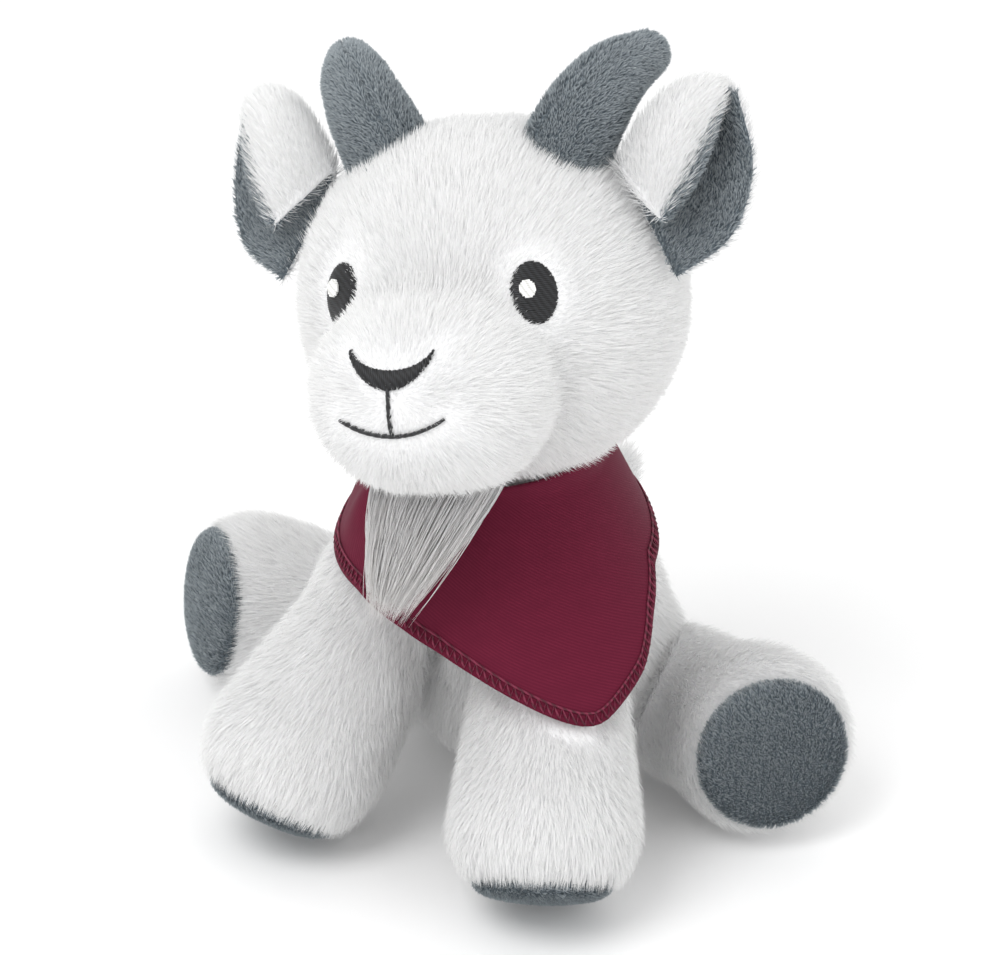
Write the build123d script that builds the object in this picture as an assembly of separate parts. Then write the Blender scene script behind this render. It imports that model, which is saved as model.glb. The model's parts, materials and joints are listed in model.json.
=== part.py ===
from build123d import *
import os
from math import asin, atan2, cos, degrees, hypot, radians, sin, sqrt

# A seated plush goat in millimetres: +Z up, face towards -Y, the goat's left at +X.
# Every cover is a hollow shell round its own stuffing. The head, legs, ears and tail
# each turn about a rounded root that sits in a socket of the part that carries it.

# Cloth and fits
coverThickness = 1.6
stuffingGap = 0.15
seamGap = 0.1
jointGap = 0.35
rootEase = 0.05
floorTrim = 0.4

# Torso: a pear that leans back a little
rumpRadius = 33.0
rumpSetback = 12.0
neckRadius = 22.0
neckHeight = 70.0
neckSetback = -5.0
pelletBagRadius = 12.0
pelletBagHeight = 15.0

# Neck seam: the turned-in edges where the head cover meets the torso cover
neckSeamThickness = 0.9
neckSeamLow = 16.4
neckSeamHigh = 20.0

# Head: wider than it is tall, tipped up, turned and leaning a little
headRadius = 39.5
headHalfWidth = headRadius + 3.0
headRise = headRadius + 12.6
headForward = 2.0
headYaw = 8.0
headPitch = -9.0
headRoll = -8.8

# Muzzle, a padded dome low on the face
muzzleRadius = 21.5
muzzleHalfWidth = muzzleRadius + 5.0
muzzleForward = headRadius
muzzleDrop = 9.0

# Embroidery
threadHeight = 0.7
eyeHalfWidth = 4.7
eyeHalfHeight = 6.3
eyeTurn = 33.4
eyeLift = 14.0
highlightRadius = 1.6
highlightUp = 0.6
highlightIn = 1.4
noseHalfWidth = 8.8
noseWingRise = 5.6
noseThickness = 3.8
noseLift = 16.0
philtrumLength = 9.5
threadWidth = 1.1
mouthHalfWidth = 11.5
mouthWingRise = 3.2

# The beard, horns and ears are drawn for a head of this radius and scale with it
drawnHeadRadius = 39.5
headScale = headRadius / drawnHeadRadius

# Beard, a tuft of long pile under the chin
beardRadii = [9.0, 8.0, 5.6, 2.6]
beardPath = [(4, -41, -27), (1, -41, -37), (-3, -40, -48), (-6, -38.5, -58)]

# Horns
hornPath = [(17.5, -1.5, 27.0), (23.0, 0.8, 37.5), (27.5, 5.5, 44.0), (33.0, 15.5, 48.2)]
hornRadii = [9.8, 9.3, 8.2, 5.6]

# Ears: cupped leaves, each a slice of a long rounded shell
earRoot = (35.5, -4.8, 15.0)
earTip = (54.0, 5.0, 40.5)
earHalfWidth = 12.5
earThickness = 1.8
earLiningThickness = 1.2
earRootGap = 0.6
earOpening = (0.74, -0.64, -0.2)
earDepth = 0.45
earHingeOut = 2.5

# Front legs
shoulderRadius = 15.0
shoulderX = 17.5
shoulderY = -12.0
shoulderZ = 56.0
footRadius = 21.5
leftFrontFoot = (31.5, -43.5)
rightFrontFoot = (-29.7, -41.7)
frontLegLift = 20.0

# Hind legs
hipRadius = 14.5
hipX = 29.0
hipY = 20.0
hipZ = 19.5
leftHindFoot = (57.4, 8.9)
rightHindFoot = (-70.9, 10.0)
hindSoleTurn = 42.0
hindSoleLift = 10.0
hindLegSplay = 25.0

# Soles
soleSetback = 12.5
soleThickness = 2.4
soleInset = 0.7

# Tail
tailRootRadius = 5.0
tailTipRadius = 4.0
tailLength = 15.0
tailLift = 24.0

# Bandana: a triangular cloth round the neck, its point over the goat's left leg
clothThickness = 1.2
bandanaTopRadius = 25.9
bandanaTopHeight = 87.0
bandanaFlare = (footRadius + shoulderRadius) / 2 - 4.55
bandanaSlope = (rumpRadius + bandanaFlare - neckRadius) / (neckHeight + floorTrim - rumpRadius)
bandanaPointTurn = 51.5
bandanaPointHeight = 44.0
bandanaSideHeight = 66.0
bandanaPointRounding = 7.0
hemWidth = 2.4
hemHeight = 0.5
knotRadius = 5.0
knotTailLength = 16.0
knotTailWidth = 9.0
knotTailThickness = 2.0
knotTailSplay = 32.0

bigSize = 400.0


def revolved(profile):
    # A half profile drawn in x (radius) and y (along the axis), turned about Z.
    return revolve(Plane.XZ * profile, axis=Axis.Z)


def spheroid(crossRadius, axisRadius):
    rightSide = Pos(crossRadius, 0) * Rectangle(2 * crossRadius, 3 * axisRadius)
    return revolved(Ellipse(crossRadius, axisRadius) & rightSide)


def along(start, end):
    return Plane(origin=start, z_dir=Vector(*end) - Vector(*start))


def limb(start, startRadius, end, endRadius):
    # Two balls and the cone that touches both.
    length = (Vector(*end) - Vector(*start)).length
    slant = asin((startRadius - endRadius) / length)
    lowX, lowY = startRadius * cos(slant), startRadius * sin(slant)
    highX, highY = endRadius * cos(slant), length + endRadius * sin(slant)
    eighth = sqrt(0.5)
    low = (0, -startRadius)
    lowMiddle = (startRadius * eighth, -startRadius * eighth)
    high = (0, length + endRadius)
    highMiddle = (endRadius * eighth, length + endRadius * eighth)
    outline = [
        ThreePointArc(low, lowMiddle, (lowX, lowY)),
        Line((lowX, lowY), (highX, highY)),
        ThreePointArc((highX, highY), highMiddle, high),
        Line(high, low),
    ]
    return along(start, end) * revolved(make_face(Wire(outline)))


def headForm(grow):
    # As wide as headHalfWidth and round everywhere else.
    reach = headHalfWidth - headRadius
    return limb((-reach, 0, 0), headRadius + grow, (reach, 0, 0), headRadius + grow)


def muzzleForm(grow):
    reach = muzzleHalfWidth - muzzleRadius
    form = limb((-reach, 0, 0), muzzleRadius + grow, (reach, 0, 0), muzzleRadius + grow)
    return Pos(0, -muzzleForward, -muzzleDrop) * form


def ball(centre, radius):
    # Turned so that its poles lie away from the other pieces' edges.
    return Pos(*centre) * Rot(20, 35, 50) * Sphere(radius)


def below(height):
    return Pos(0, 0, height - bigSize / 2) * Box(bigSize, bigSize, bigSize)


def beyond(plane):
    return plane * Pos(0, 0, bigSize / 2) * Box(bigSize, bigSize, bigSize)


def mirrored(shape):
    return mirror(shape, about=Plane.YZ)


def onSide(point, side):
    return (side * point[0], point[1], point[2])


# Centres
rumpCentre = (0, rumpSetback, rumpRadius - floorTrim)
neckCentre = (0, neckSetback, neckHeight)
headCentre = (0.3, neckSetback - headForward, neckHeight + headRise)
shoulder = (shoulderX, shoulderY, shoulderZ)
hip = (hipX, hipY, hipZ)
frontFeet = {1: (*leftFrontFoot, footRadius), -1: (*rightFrontFoot, footRadius)}
hindFeet = {1: (*leftHindFoot, footRadius), -1: (*rightHindFoot, footRadius)}
tailRoot = (
    0,
    rumpSetback + rumpRadius * cos(radians(tailLift)),
    rumpCentre[2] + rumpRadius * sin(radians(tailLift)),
)
tailTip = (
    0,
    tailRoot[1] + tailLength * cos(radians(tailLift)),
    tailRoot[2] + tailLength * sin(radians(tailLift)),
)
headPlace = Pos(*headCentre) * Rot(0, 0, headYaw) * Rot(headPitch, 0, 0) * Rot(0, headRoll, 0)
neckSocket = neckRadius + 2 * jointGap + neckSeamThickness


def legRelief(root, rootRadius, foot, turn, gap):
    # The leg past its root ball, swung and grown by the gap.
    share = 0.15
    start = Vector(*root) + (Vector(*foot) - Vector(*root)) * share
    startRadius = rootRadius + (footRadius - rootRadius) * share
    shape = limb(tuple(start), startRadius + gap, foot, footRadius + gap)
    return Pos(*root) * turn * Pos(-root[0], -root[1], -root[2]) * shape


def sockets(grow):
    # The hollows in the torso for the shoulders, hips and tail, with room for each leg to swing.
    gap = jointGap + grow
    result = [ball(tailRoot, tailRootRadius + gap)]
    for side in (1, -1):
        front, hind = onSide(shoulder, side), onSide(hip, side)
        result.append(ball(front, shoulderRadius + gap))
        result.append(ball(hind, hipRadius + gap))
        lift = Rot(-frontLegLift, 0, 0)
        splay = Rot(0, 0, side * hindLegSplay)
        result.append(legRelief(front, shoulderRadius, frontFeet[side], lift, gap))
        result.append(legRelief(hind, hipRadius, hindFeet[side], splay, gap))
    return result


def torsoForm(grow):
    return limb(rumpCentre, rumpRadius + grow, neckCentre, neckRadius + grow)


def torso(inset):
    solid = torsoForm(-inset) - below(inset)
    for hollow in sockets(inset):
        solid -= hollow
    return solid


def torsoParts():
    bagPlace = (0, rumpSetback, pelletBagHeight)
    cover = torso(0) - torso(coverThickness)
    stuffing = torso(coverThickness + stuffingGap) - ball(bagPlace, pelletBagRadius + stuffingGap)
    return {
        "torso_cover": cover,
        "torso_stuffing": stuffing,
        "pellet_bag": ball(bagPlace, pelletBagRadius),
    }


def neckSeam():
    inner = neckRadius + jointGap
    shell = Sphere(inner + neckSeamThickness) - Sphere(inner)
    band = Pos(0, 0, (neckSeamLow + neckSeamHigh) / 2) * Box(bigSize, bigSize, neckSeamHigh - neckSeamLow)
    return Pos(*neckCentre) * (shell & band)


def legBody(root, rootRadius, foot, solePlane, inset):
    # The root ball stays whole; past it the leg is hollowed where it hugs the torso.
    solid = limb(root, rootRadius - inset, foot, footRadius - inset)
    hug = torsoForm(jointGap + inset) - ball(root, rootRadius - inset + rootEase)
    shiftedSole = Plane(origin=solePlane.origin - solePlane.z_dir * inset, z_dir=solePlane.z_dir)
    return solid - hug - beyond(shiftedSole) - below(inset)


def leg(name, root, rootRadius, foot, soleDirection):
    aim = Vector(*soleDirection).normalized()
    solePlane = Plane(origin=Vector(*foot) + aim * soleSetback, z_dir=aim)
    outer = legBody(root, rootRadius, foot, solePlane, 0)
    inner = legBody(root, rootRadius, foot, solePlane, coverThickness)
    stuffing = legBody(root, rootRadius, foot, solePlane, coverThickness + stuffingGap)
    soleRadius = sqrt(footRadius**2 - soleSetback**2) - soleInset
    pad = solePlane * Pos(0, 0, soleThickness / 2) * Cylinder(soleRadius, soleThickness)
    outerRim = pad.faces().sort_by(Axis(tuple(solePlane.origin), tuple(aim)))[-1].edges()
    pad = fillet(outerRim, soleThickness / 2) - below(0)
    return {name + "_cover": outer - inner, name + "_stuffing": stuffing, name + "_sole": pad}


def frontLegs():
    nodes = {}
    for side, word in ((1, "left"), (-1, "right")):
        root = onSide(shoulder, side)
        foot = frontFeet[side]
        aim = tuple(foot[i] - root[i] for i in range(3))
        nodes.update(leg("front_leg_" + word, root, shoulderRadius, foot, aim))
    return nodes


def hindLegs():
    turn, lift = radians(hindSoleTurn), radians(hindSoleLift)
    nodes = {}
    for side, word in ((1, "left"), (-1, "right")):
        aim = (side * sin(turn) * cos(lift), -cos(turn) * cos(lift), sin(lift))
        nodes.update(leg("hind_leg_" + word, onSide(hip, side), hipRadius, hindFeet[side], aim))
    return nodes


def tail():
    outer = limb(tailRoot, tailRootRadius, tailTip, tailTipRadius)
    inner = limb(tailRoot, tailRootRadius - coverThickness, tailTip, tailTipRadius - coverThickness)
    inset = coverThickness + stuffingGap
    stuffing = limb(tailRoot, tailRootRadius - inset, tailTip, tailTipRadius - inset)
    return {"tail_cover": outer - inner, "tail_stuffing": stuffing}


def scaled(points):
    return [tuple(headScale * value for value in point) for point in points]


def taperedTube(points, radii):
    # Circles square to a smooth line through the points, closed by a round end.
    line = Spline(*points)
    sections = []
    steps = len(points) - 1
    for index, radius in enumerate(radii):
        share = index / steps
        sections.append(Plane(origin=line @ share, z_dir=line % share) * Circle(radius))
    return loft(sections) + Pos(*tuple(line @ 1)) * Sphere(radii[-1])


def horn():
    inset = coverThickness
    path = scaled(hornPath)
    outer = taperedTube(path, hornRadii)
    inner = taperedTube(path, [radius - inset for radius in hornRadii])
    core = taperedTube(path, [radius - inset - stuffingGap for radius in hornRadii])
    skull = headForm(seamGap)
    return outer - inner - skull, core - skull


def earPlane():
    # Z runs to the tip, X the way the cup opens and Y along the hinge.
    root, tip = scaled([earRoot, earTip])
    aim = (Vector(*tip) - Vector(*root)).normalized()
    opening = Vector(*earOpening)
    return Plane(origin=root, x_dir=opening - aim * opening.dot(aim), z_dir=aim)


def ear():
    reach = headScale * (Vector(*earTip) - Vector(*earRoot)).length
    place = earPlane()

    def shell(outset, thickness):
        outer = spheroid(earHalfWidth - outset, reach - outset)
        inner = spheroid(earHalfWidth - outset - thickness, reach - outset - thickness)
        return outer - inner

    # Only the back of the long shell is kept, as far as the ear is deep.
    mouth = Pos(bigSize / 2 - earHalfWidth * earDepth, 0, 0) * Box(bigSize, bigSize, bigSize)
    skull = headForm(earRootGap)
    back = place * (shell(0, earThickness) - mouth) - skull
    lining = place * (shell(earThickness + seamGap, earLiningThickness) - mouth) - skull
    return largest(back), largest(lining)


def largest(shape):
    return shape.solids().sort_by(SortBy.VOLUME)[-1]


def eye(side):
    turn, lift = radians(eyeTurn), radians(eyeLift)
    aim = Vector(side * sin(turn) * cos(lift), -cos(turn) * cos(lift), sin(lift))
    place = Plane(origin=(0, 0, 0), x_dir=(cos(turn), side * sin(turn), 0), z_dir=aim)
    block = place * extrude(Ellipse(eyeHalfWidth, eyeHalfHeight), 2 * headHalfWidth)
    patch = (block & (headForm(seamGap + threadHeight) - headForm(seamGap))) - muzzleForm(seamGap)
    dot = place * extrude(Pos(-highlightIn, highlightUp) * Circle(highlightRadius), 2 * headHalfWidth)
    low = 2 * seamGap + threadHeight
    highlight = dot & (headForm(low + threadHeight / 2) - headForm(low))
    return patch, highlight


def muzzlePatch(outline):
    # The outline is drawn on a plane square to the way the nose points.
    lift = radians(noseLift)
    nosePlane = Plane(origin=(0, 0, 0), x_dir=(1, 0, 0), z_dir=(0, -cos(lift), sin(lift)))
    block = nosePlane * extrude(outline, 2 * muzzleRadius, dir=(0, 0, 1))
    block = Pos(0, -muzzleForward, -muzzleDrop) * block
    return block & (muzzleForm(seamGap + threadHeight) - muzzleForm(seamGap))


def crescent(halfWidth, rise, middle, end):
    # A bow between two arcs, as thick as middle at its low point and as end at its tips.
    outline = [
        ThreePointArc((-halfWidth, rise - end / 2), (0, -middle / 2), (halfWidth, rise - end / 2)),
        Line((halfWidth, rise - end / 2), (halfWidth, rise + end / 2)),
        ThreePointArc((halfWidth, rise + end / 2), (0, middle / 2), (-halfWidth, rise + end / 2)),
        Line((-halfWidth, rise + end / 2), (-halfWidth, rise - end / 2)),
    ]
    return make_face(Wire(outline))


def noseAndMouth():
    noseBottom = -noseThickness / 2
    lineBottom = noseBottom - philtrumLength
    lineMiddle = (noseBottom + lineBottom) / 2 - seamGap
    line = Pos(0, lineMiddle) * Rectangle(threadWidth, philtrumLength - 2 * seamGap)
    bow = crescent(mouthHalfWidth, mouthWingRise, threadWidth, threadWidth)
    smile = Pos(0, lineBottom - threadWidth) * bow
    return {
        "nose": muzzlePatch(crescent(noseHalfWidth, noseWingRise, noseThickness, threadWidth)),
        "philtrum": muzzlePatch(line),
        "mouth": muzzlePatch(smile),
    }


def headParts():
    # Built level about the head's own centre, then placed.
    socket = headPlace.inverse() * ball(neckCentre, neckSocket)
    stuffed = coverThickness + stuffingGap
    nodes = {
        "head_cover": headForm(0) - headForm(-coverThickness) - socket,
        "head_stuffing": headForm(-stuffed) - socket,
        "muzzle_cover": muzzleForm(0) - muzzleForm(-coverThickness) - headForm(seamGap),
        "muzzle_stuffing": muzzleForm(-stuffed) - headForm(seamGap),
        "beard": taperedTube(scaled(beardPath), beardRadii) - muzzleForm(seamGap) - headForm(seamGap),
    }
    nodes.update(noseAndMouth())
    hornCover, hornStuffing = horn()
    for side, word in ((1, "left"), (-1, "right")):
        patch, highlight = eye(side)
        nodes["eye_" + word] = patch
        nodes["eye_highlight_" + word] = highlight
        nodes["horn_" + word + "_cover"] = hornCover if side > 0 else mirrored(hornCover)
        nodes["horn_" + word + "_stuffing"] = hornStuffing if side > 0 else mirrored(hornStuffing)
    earBack, earLining = ear()
    for side, word in ((1, "left"), (-1, "right")):
        nodes["ear_" + word + "_back"] = earBack if side > 0 else mirrored(earBack)
        nodes["ear_" + word + "_lining"] = earLining if side > 0 else mirrored(earLining)
    return {name: headPlace * shape for name, shape in nodes.items()}


def clothCone(outset, thickness):
    # A flared sleeve round the neck, from above the band to below the point.
    low = bandanaPointHeight - bandanaPointRounding
    drop = bandanaTopHeight - low
    wide = bandanaTopRadius + drop * bandanaSlope
    outline = [
        (bandanaTopRadius + outset, bandanaTopHeight),
        (wide + outset, low),
        (wide + outset + thickness, low),
        (bandanaTopRadius + outset + thickness, bandanaTopHeight),
    ]
    face = make_face(Polyline(*outline, close=True))
    return Pos(0, neckSetback, 0) * Rot(0, 0, bandanaPointTurn) * revolved(face)


def bandanaOutline(inset):
    # Seen from the point's side: a band as far as the sides, with a rounded point below.
    drop = bandanaTopHeight - bandanaSideHeight
    reach = bandanaTopRadius + drop * bandanaSlope + 2 * clothThickness
    low = bandanaPointHeight + inset
    side = bandanaSideHeight + inset
    top = bandanaTopHeight
    corners = [(-reach, top), (-reach, side), (0, low), (reach, side), (reach, top)]
    face = make_face(Polyline(*corners, close=True))
    point = face.vertices().sort_by(Axis.Y)[0]
    return fillet(point, bandanaPointRounding)


def bandanaBlock(inset):
    front = Pos(0, neckSetback, 0) * Rot(0, 0, bandanaPointTurn) * extrude(
        Plane.XZ * bandanaOutline(inset), bigSize / 4
    )
    band = Pos(0, 0, (bandanaTopHeight + bandanaSideHeight + inset) / 2) * Box(
        bigSize, bigSize, bandanaTopHeight - bandanaSideHeight - inset
    )
    return front + band


def bandana():
    outline = bandanaBlock(0)
    cloth = clothCone(0, clothThickness) & outline
    hemSleeve = clothCone(clothThickness + seamGap, hemHeight)
    hem = (hemSleeve & outline) - bandanaBlock(hemWidth)
    return {"bandana_cloth": cloth, "bandana_hem": hem, "bandana_knot": bandanaKnot()}


def bandanaKnot():
    # A ball on the cloth opposite the point, with two ends that hang beside it.
    height = (bandanaTopHeight + bandanaSideHeight) / 2
    clothRadius = bandanaTopRadius + (bandanaTopHeight - height) * bandanaSlope + clothThickness
    steep = hypot(1, bandanaSlope)
    outside = clothRadius + (knotRadius + seamGap) * steep
    knot = ball((0, outside, height), knotRadius)
    for side in (1, -1):
        tab = Box(knotTailWidth, knotTailThickness, knotTailLength)
        tab = Rot(0, side * knotTailSplay, 0) * Pos(0, 0, -(knotTailLength + knotRadius) / 2) * tab
        knot += Pos(0, outside, height) * Rot(degrees(atan2(bandanaSlope, 1)), 0, 0) * tab
    return Pos(0, neckSetback, 0) * Rot(0, 0, bandanaPointTurn) * knot


os.makedirs("parts", exist_ok=True)
nodes = {"neck_seam": neckSeam()}
for group in (torsoParts(), frontLegs(), hindLegs(), tail(), headParts(), bandana()):
    nodes.update(group)

# The origin is on the floor, under the middle of the whole toy.
everySolid = []
for shape in nodes.values():
    everySolid += shape.solids()
box = Compound(everySolid).bounding_box()
shift = Pos(-(box.min.X + box.max.X) / 2, -(box.min.Y + box.max.Y) / 2, -box.min.Z)
for name, shape in nodes.items():
    export_step(shift * shape, "parts/" + name + ".step")

# Where the joints turn, in the frame of the written files.
places = {
    "seat": (rumpCentre[0], rumpCentre[1], 0),
    "neck": neckCentre,
    "left shoulder": shoulder,
    "right shoulder": onSide(shoulder, -1),
    "left hip": hip,
    "right hip": onSide(hip, -1),
    "tail root": tailRoot,
    "bandana top": (0, neckSetback, bandanaTopHeight),
}
for side, word in ((1, "left"), (-1, "right")):
    hinge = earPlane().origin + earPlane().z_dir * earHingeOut
    places[word + " ear"] = tuple((headPlace * Pos(side * hinge.X, hinge.Y, hinge.Z)).position)
    end = hinge + earPlane().y_dir * earHalfWidth
    places[word + " ear hinge end"] = tuple((headPlace * Pos(side * end.X, end.Y, end.Z)).position)
for name, place in places.items():
    print(name, [round(value, 3) for value in tuple((shift * Pos(*place)).position)])
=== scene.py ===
import bpy
import bmesh
import json
import numpy as np
from math import cos, pi, radians, sin, sqrt
from mathutils import Matrix, Vector, noise
from mathutils.bvhtree import BVHTree


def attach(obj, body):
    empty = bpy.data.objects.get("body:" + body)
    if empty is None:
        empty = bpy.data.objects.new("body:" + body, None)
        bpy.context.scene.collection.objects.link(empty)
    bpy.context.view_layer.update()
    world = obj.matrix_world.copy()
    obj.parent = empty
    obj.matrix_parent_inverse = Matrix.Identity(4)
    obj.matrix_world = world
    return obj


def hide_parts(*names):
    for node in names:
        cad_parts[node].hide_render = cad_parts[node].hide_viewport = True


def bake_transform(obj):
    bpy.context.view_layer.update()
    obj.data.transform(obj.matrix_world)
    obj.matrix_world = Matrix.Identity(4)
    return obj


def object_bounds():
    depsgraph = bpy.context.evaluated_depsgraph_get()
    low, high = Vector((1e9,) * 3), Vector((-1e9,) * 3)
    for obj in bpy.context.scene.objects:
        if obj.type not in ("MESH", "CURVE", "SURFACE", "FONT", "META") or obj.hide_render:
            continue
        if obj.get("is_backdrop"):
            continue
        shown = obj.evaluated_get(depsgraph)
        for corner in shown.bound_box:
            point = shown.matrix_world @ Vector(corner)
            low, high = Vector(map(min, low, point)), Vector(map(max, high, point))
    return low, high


# A seated plush goat kid in white pile, with grey minky horns, ear linings and soles,
# and a wine-red kerchief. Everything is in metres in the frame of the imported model.

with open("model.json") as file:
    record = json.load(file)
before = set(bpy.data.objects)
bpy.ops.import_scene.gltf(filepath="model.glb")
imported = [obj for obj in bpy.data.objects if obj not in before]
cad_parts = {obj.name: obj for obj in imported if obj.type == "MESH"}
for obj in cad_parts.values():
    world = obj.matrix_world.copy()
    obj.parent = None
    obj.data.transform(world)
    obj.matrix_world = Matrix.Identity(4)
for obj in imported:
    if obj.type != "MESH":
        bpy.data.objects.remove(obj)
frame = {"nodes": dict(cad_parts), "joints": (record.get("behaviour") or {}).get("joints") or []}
cadBox = [list(corner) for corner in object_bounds()]
nodes = frame["nodes"]
joints = {joint["name"]: joint for joint in frame["joints"]}
mm = 0.001


def hexColour(code):
    parts = [int(code[i:i + 2], 16) / 255 for i in (1, 3, 5)]
    return tuple(p / 12.92 if p <= 0.04045 else ((p + 0.055) / 1.055) ** 2.4 for p in parts) + (1.0,)


def addNode(tree, kind, links=None, **settings):
    # links: socket name or number -> another node's socket, or a value for it
    node = tree.nodes.new(kind)
    for name, value in settings.items():
        setattr(node, name, value)
    for name, value in (links or {}).items():
        if isinstance(value, bpy.types.NodeSocket):
            tree.links.new(value, node.inputs[name])
        else:
            node.inputs[name].default_value = value
    return node


def newObject(name, mesh, material=None, smooth=True):
    ob = bpy.data.objects.new(name, mesh)
    bpy.context.scene.collection.objects.link(ob)
    if material:
        mesh.materials.clear()
        mesh.materials.append(material)
    if smooth:
        mesh.shade_smooth()
    return ob


def meshFrom(name, points, faces, edges=()):
    mesh = bpy.data.meshes.new(name)
    mesh.from_pydata([tuple(p) for p in points], edges, faces)
    mesh.validate()
    mesh.update()
    return mesh


def baked(ob, name=None):
    # The object with its modifiers applied, as one plain mesh in place of the old one.
    bpy.context.view_layer.update()
    view = bpy.context.evaluated_depsgraph_get()
    mesh = bpy.data.meshes.new_from_object(ob.evaluated_get(view), preserve_all_data_layers=True,
                                           depsgraph=view)
    ob.modifiers.clear()
    old = ob.data
    ob.data = mesh
    if not old.users:
        bpy.data.meshes.remove(old)
    if name:
        ob.name = name
    return ob


def removed(ob):
    data = ob.data
    bpy.data.objects.remove(ob)
    if data and not data.users:
        bpy.data.meshes.remove(data)


def places(mesh):
    co = np.empty(len(mesh.vertices) * 3, np.float32)
    mesh.vertices.foreach_get("co", co)
    return co.reshape(-1, 3).astype(float)


def normals(mesh):
    out = np.empty(len(mesh.vertices) * 3, np.float32)
    mesh.vertices.foreach_get("normal", out)
    return out.reshape(-1, 3).astype(float)


def setPlaces(mesh, co):
    mesh.vertices.foreach_set("co", co.astype(np.float32).ravel())
    mesh.update()


def faceOut(mesh):
    form = bmesh.new()
    form.from_mesh(mesh)
    bmesh.ops.recalc_face_normals(form, faces=form.faces)
    form.to_mesh(mesh)
    form.free()


def attributeOf(mesh, name):
    values = np.empty(len(mesh.vertices), np.float32)
    mesh.attributes[name].data.foreach_get("value", values)
    return values


def setAttribute(mesh, name, values):
    kind = "FLOAT_VECTOR" if values.ndim == 2 else "FLOAT"
    field = "vector" if values.ndim == 2 else "value"
    layer = mesh.attributes.get(name) or mesh.attributes.new(name, kind, "POINT")
    layer.data.foreach_set(field, values.astype(np.float32).ravel())


def unit(v):
    v = np.asarray(v, float)
    return v / np.maximum(np.linalg.norm(v, axis=-1, keepdims=True), 1e-12)


def smoothStep(x, low, high):
    t = np.clip((np.asarray(x, float) - low) / (high - low), 0, 1)
    return t * t * (3 - 2 * t)


def through(points, shares):
    # A smooth line through the points (Catmull-Rom), read at shares 0 to 1.
    p = np.asarray(points, float)
    p = np.vstack([2 * p[0] - p[1], p, 2 * p[-1] - p[-2]])
    count = len(p) - 3
    s = np.clip(np.asarray(shares, float), 0, 1) * count
    i = np.minimum(s.astype(int), count - 1)
    t = (s - i)[:, None]
    a, b, c, d = p[i], p[i + 1], p[i + 2], p[i + 3]
    return 0.5 * (2 * b + (c - a) * t + (2 * a - 5 * b + 4 * c - d) * t**2 + (3 * b - a - 3 * c + d) * t**3)


def lumps(co, size, seed):
    shift = Vector((seed * 7.3, seed * 3.1, seed * 5.7))
    return np.array([noise.noise(Vector(p) / size + shift) for p in co])


neckCentre = np.array(joints["head_turn"]["pos_m"])
neckAxis = np.array([neckCentre[0], neckCentre[1], 0])
headCentre = neckCentre + np.array([0.3, -2.0, 52.1]) * mm
headTurn = np.array(
    Matrix.Rotation(radians(8), 3, "Z") @ Matrix.Rotation(radians(-9), 3, "X")
    @ Matrix.Rotation(radians(-8.8), 3, "Y")
)
headSize = {"radius": 39.5, "halfWidth": 42.5, "muzzleRadius": 21.5, "muzzleHalfWidth": 26.5,
            "muzzleForward": 39.5, "muzzleDrop": 9.0}
footRadius = 21.5 * mm
# Middles of the feet from the neck's axis, in mm: a stuffed toy never sits quite evenly
footPlaces = {"front_leg_left": (31.5, -38.5), "front_leg_right": (-29.7, -36.7),
              "hind_leg_left": (57.4, 13.9), "hind_leg_right": (-70.9, 15.0)}
feet = {body: neckAxis + np.array([x * mm, y * mm, footRadius]) for body, (x, y) in footPlaces.items()}
soleAims = {}
for word, side in (("left", 1), ("right", -1)):
    outward = feet["front_leg_" + word] - joints["front_leg_" + word + "_lift"]["pos_m"]
    outward = outward[:2] / np.hypot(*outward[:2])
    soleAims["front_leg_" + word] = np.array([*outward * cos(radians(57)), -sin(radians(57))])
    soleAims["hind_leg_" + word] = np.array([side * sin(radians(42)) * cos(radians(10)),
                                             -cos(radians(42)) * cos(radians(10)), sin(radians(10))])


def fromHead(points):
    return np.asarray(points, float) * mm @ headTurn.T + headCentre


def toHead(points):
    return (np.asarray(points, float) - headCentre) @ headTurn / mm


def mirroredX(points, side):
    return np.asarray(points, float) * np.array([side, 1, 1])


def newMaterial(name):
    material = bpy.data.materials.new(name)
    material.use_nodes = True
    material.node_tree.nodes.clear()
    return material, material.node_tree


def finishMaterial(tree, shader):
    addNode(tree, "ShaderNodeOutputMaterial", {"Surface": shader.outputs[0]})


def pileMaterial(name, root, tip, tint, roughness, glow):
    # Strands of pile: darker at the root as painted shade deep in the pile, a little different in tint from
    # strand to strand, and lit through by the share called glow, as fine fibres are.
    material, tree = newMaterial(name)
    strand = addNode(tree, "ShaderNodeUVMap", uv_map="OFBake")
    split = addNode(tree, "ShaderNodeSeparateXYZ", {0: strand.outputs["UV"]})
    alongRamp = addNode(tree, "ShaderNodeMapRange", {"Value": split.outputs["X"], "From Min": 0.0,
                                                     "From Max": 0.85})
    # The ramp from the root colour to the tip colour paints the shade that falls down among the strands
    rootShadeToTip = addNode(tree, "ShaderNodeMixRGB", {"Fac": alongRamp.outputs[0], "Color1": hexColour(root),
                                                   "Color2": hexColour(tip)})
    mottle = addNode(tree, "ShaderNodeMath", {0: split.outputs["Y"], 1: 1.0}, operation="MULTIPLY")
    colour = addNode(tree, "ShaderNodeMixRGB", {"Fac": mottle.outputs[0], "Color1": rootShadeToTip.outputs[0],
                                                "Color2": hexColour(tint)}, blend_type="MULTIPLY")
    shader = addNode(tree, "ShaderNodeBsdfPrincipled", {"Base Color": colour.outputs[0], "Roughness": roughness,
                                                        "Specular IOR Level": 0.25})
    lit = addNode(tree, "ShaderNodeBsdfTranslucent", {"Color": colour.outputs[0]})
    mixed = addNode(tree, "ShaderNodeMixShader", {"Fac": glow, 1: shader.outputs[0], 2: lit.outputs[0]})
    finishMaterial(tree, mixed)
    return material


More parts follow.
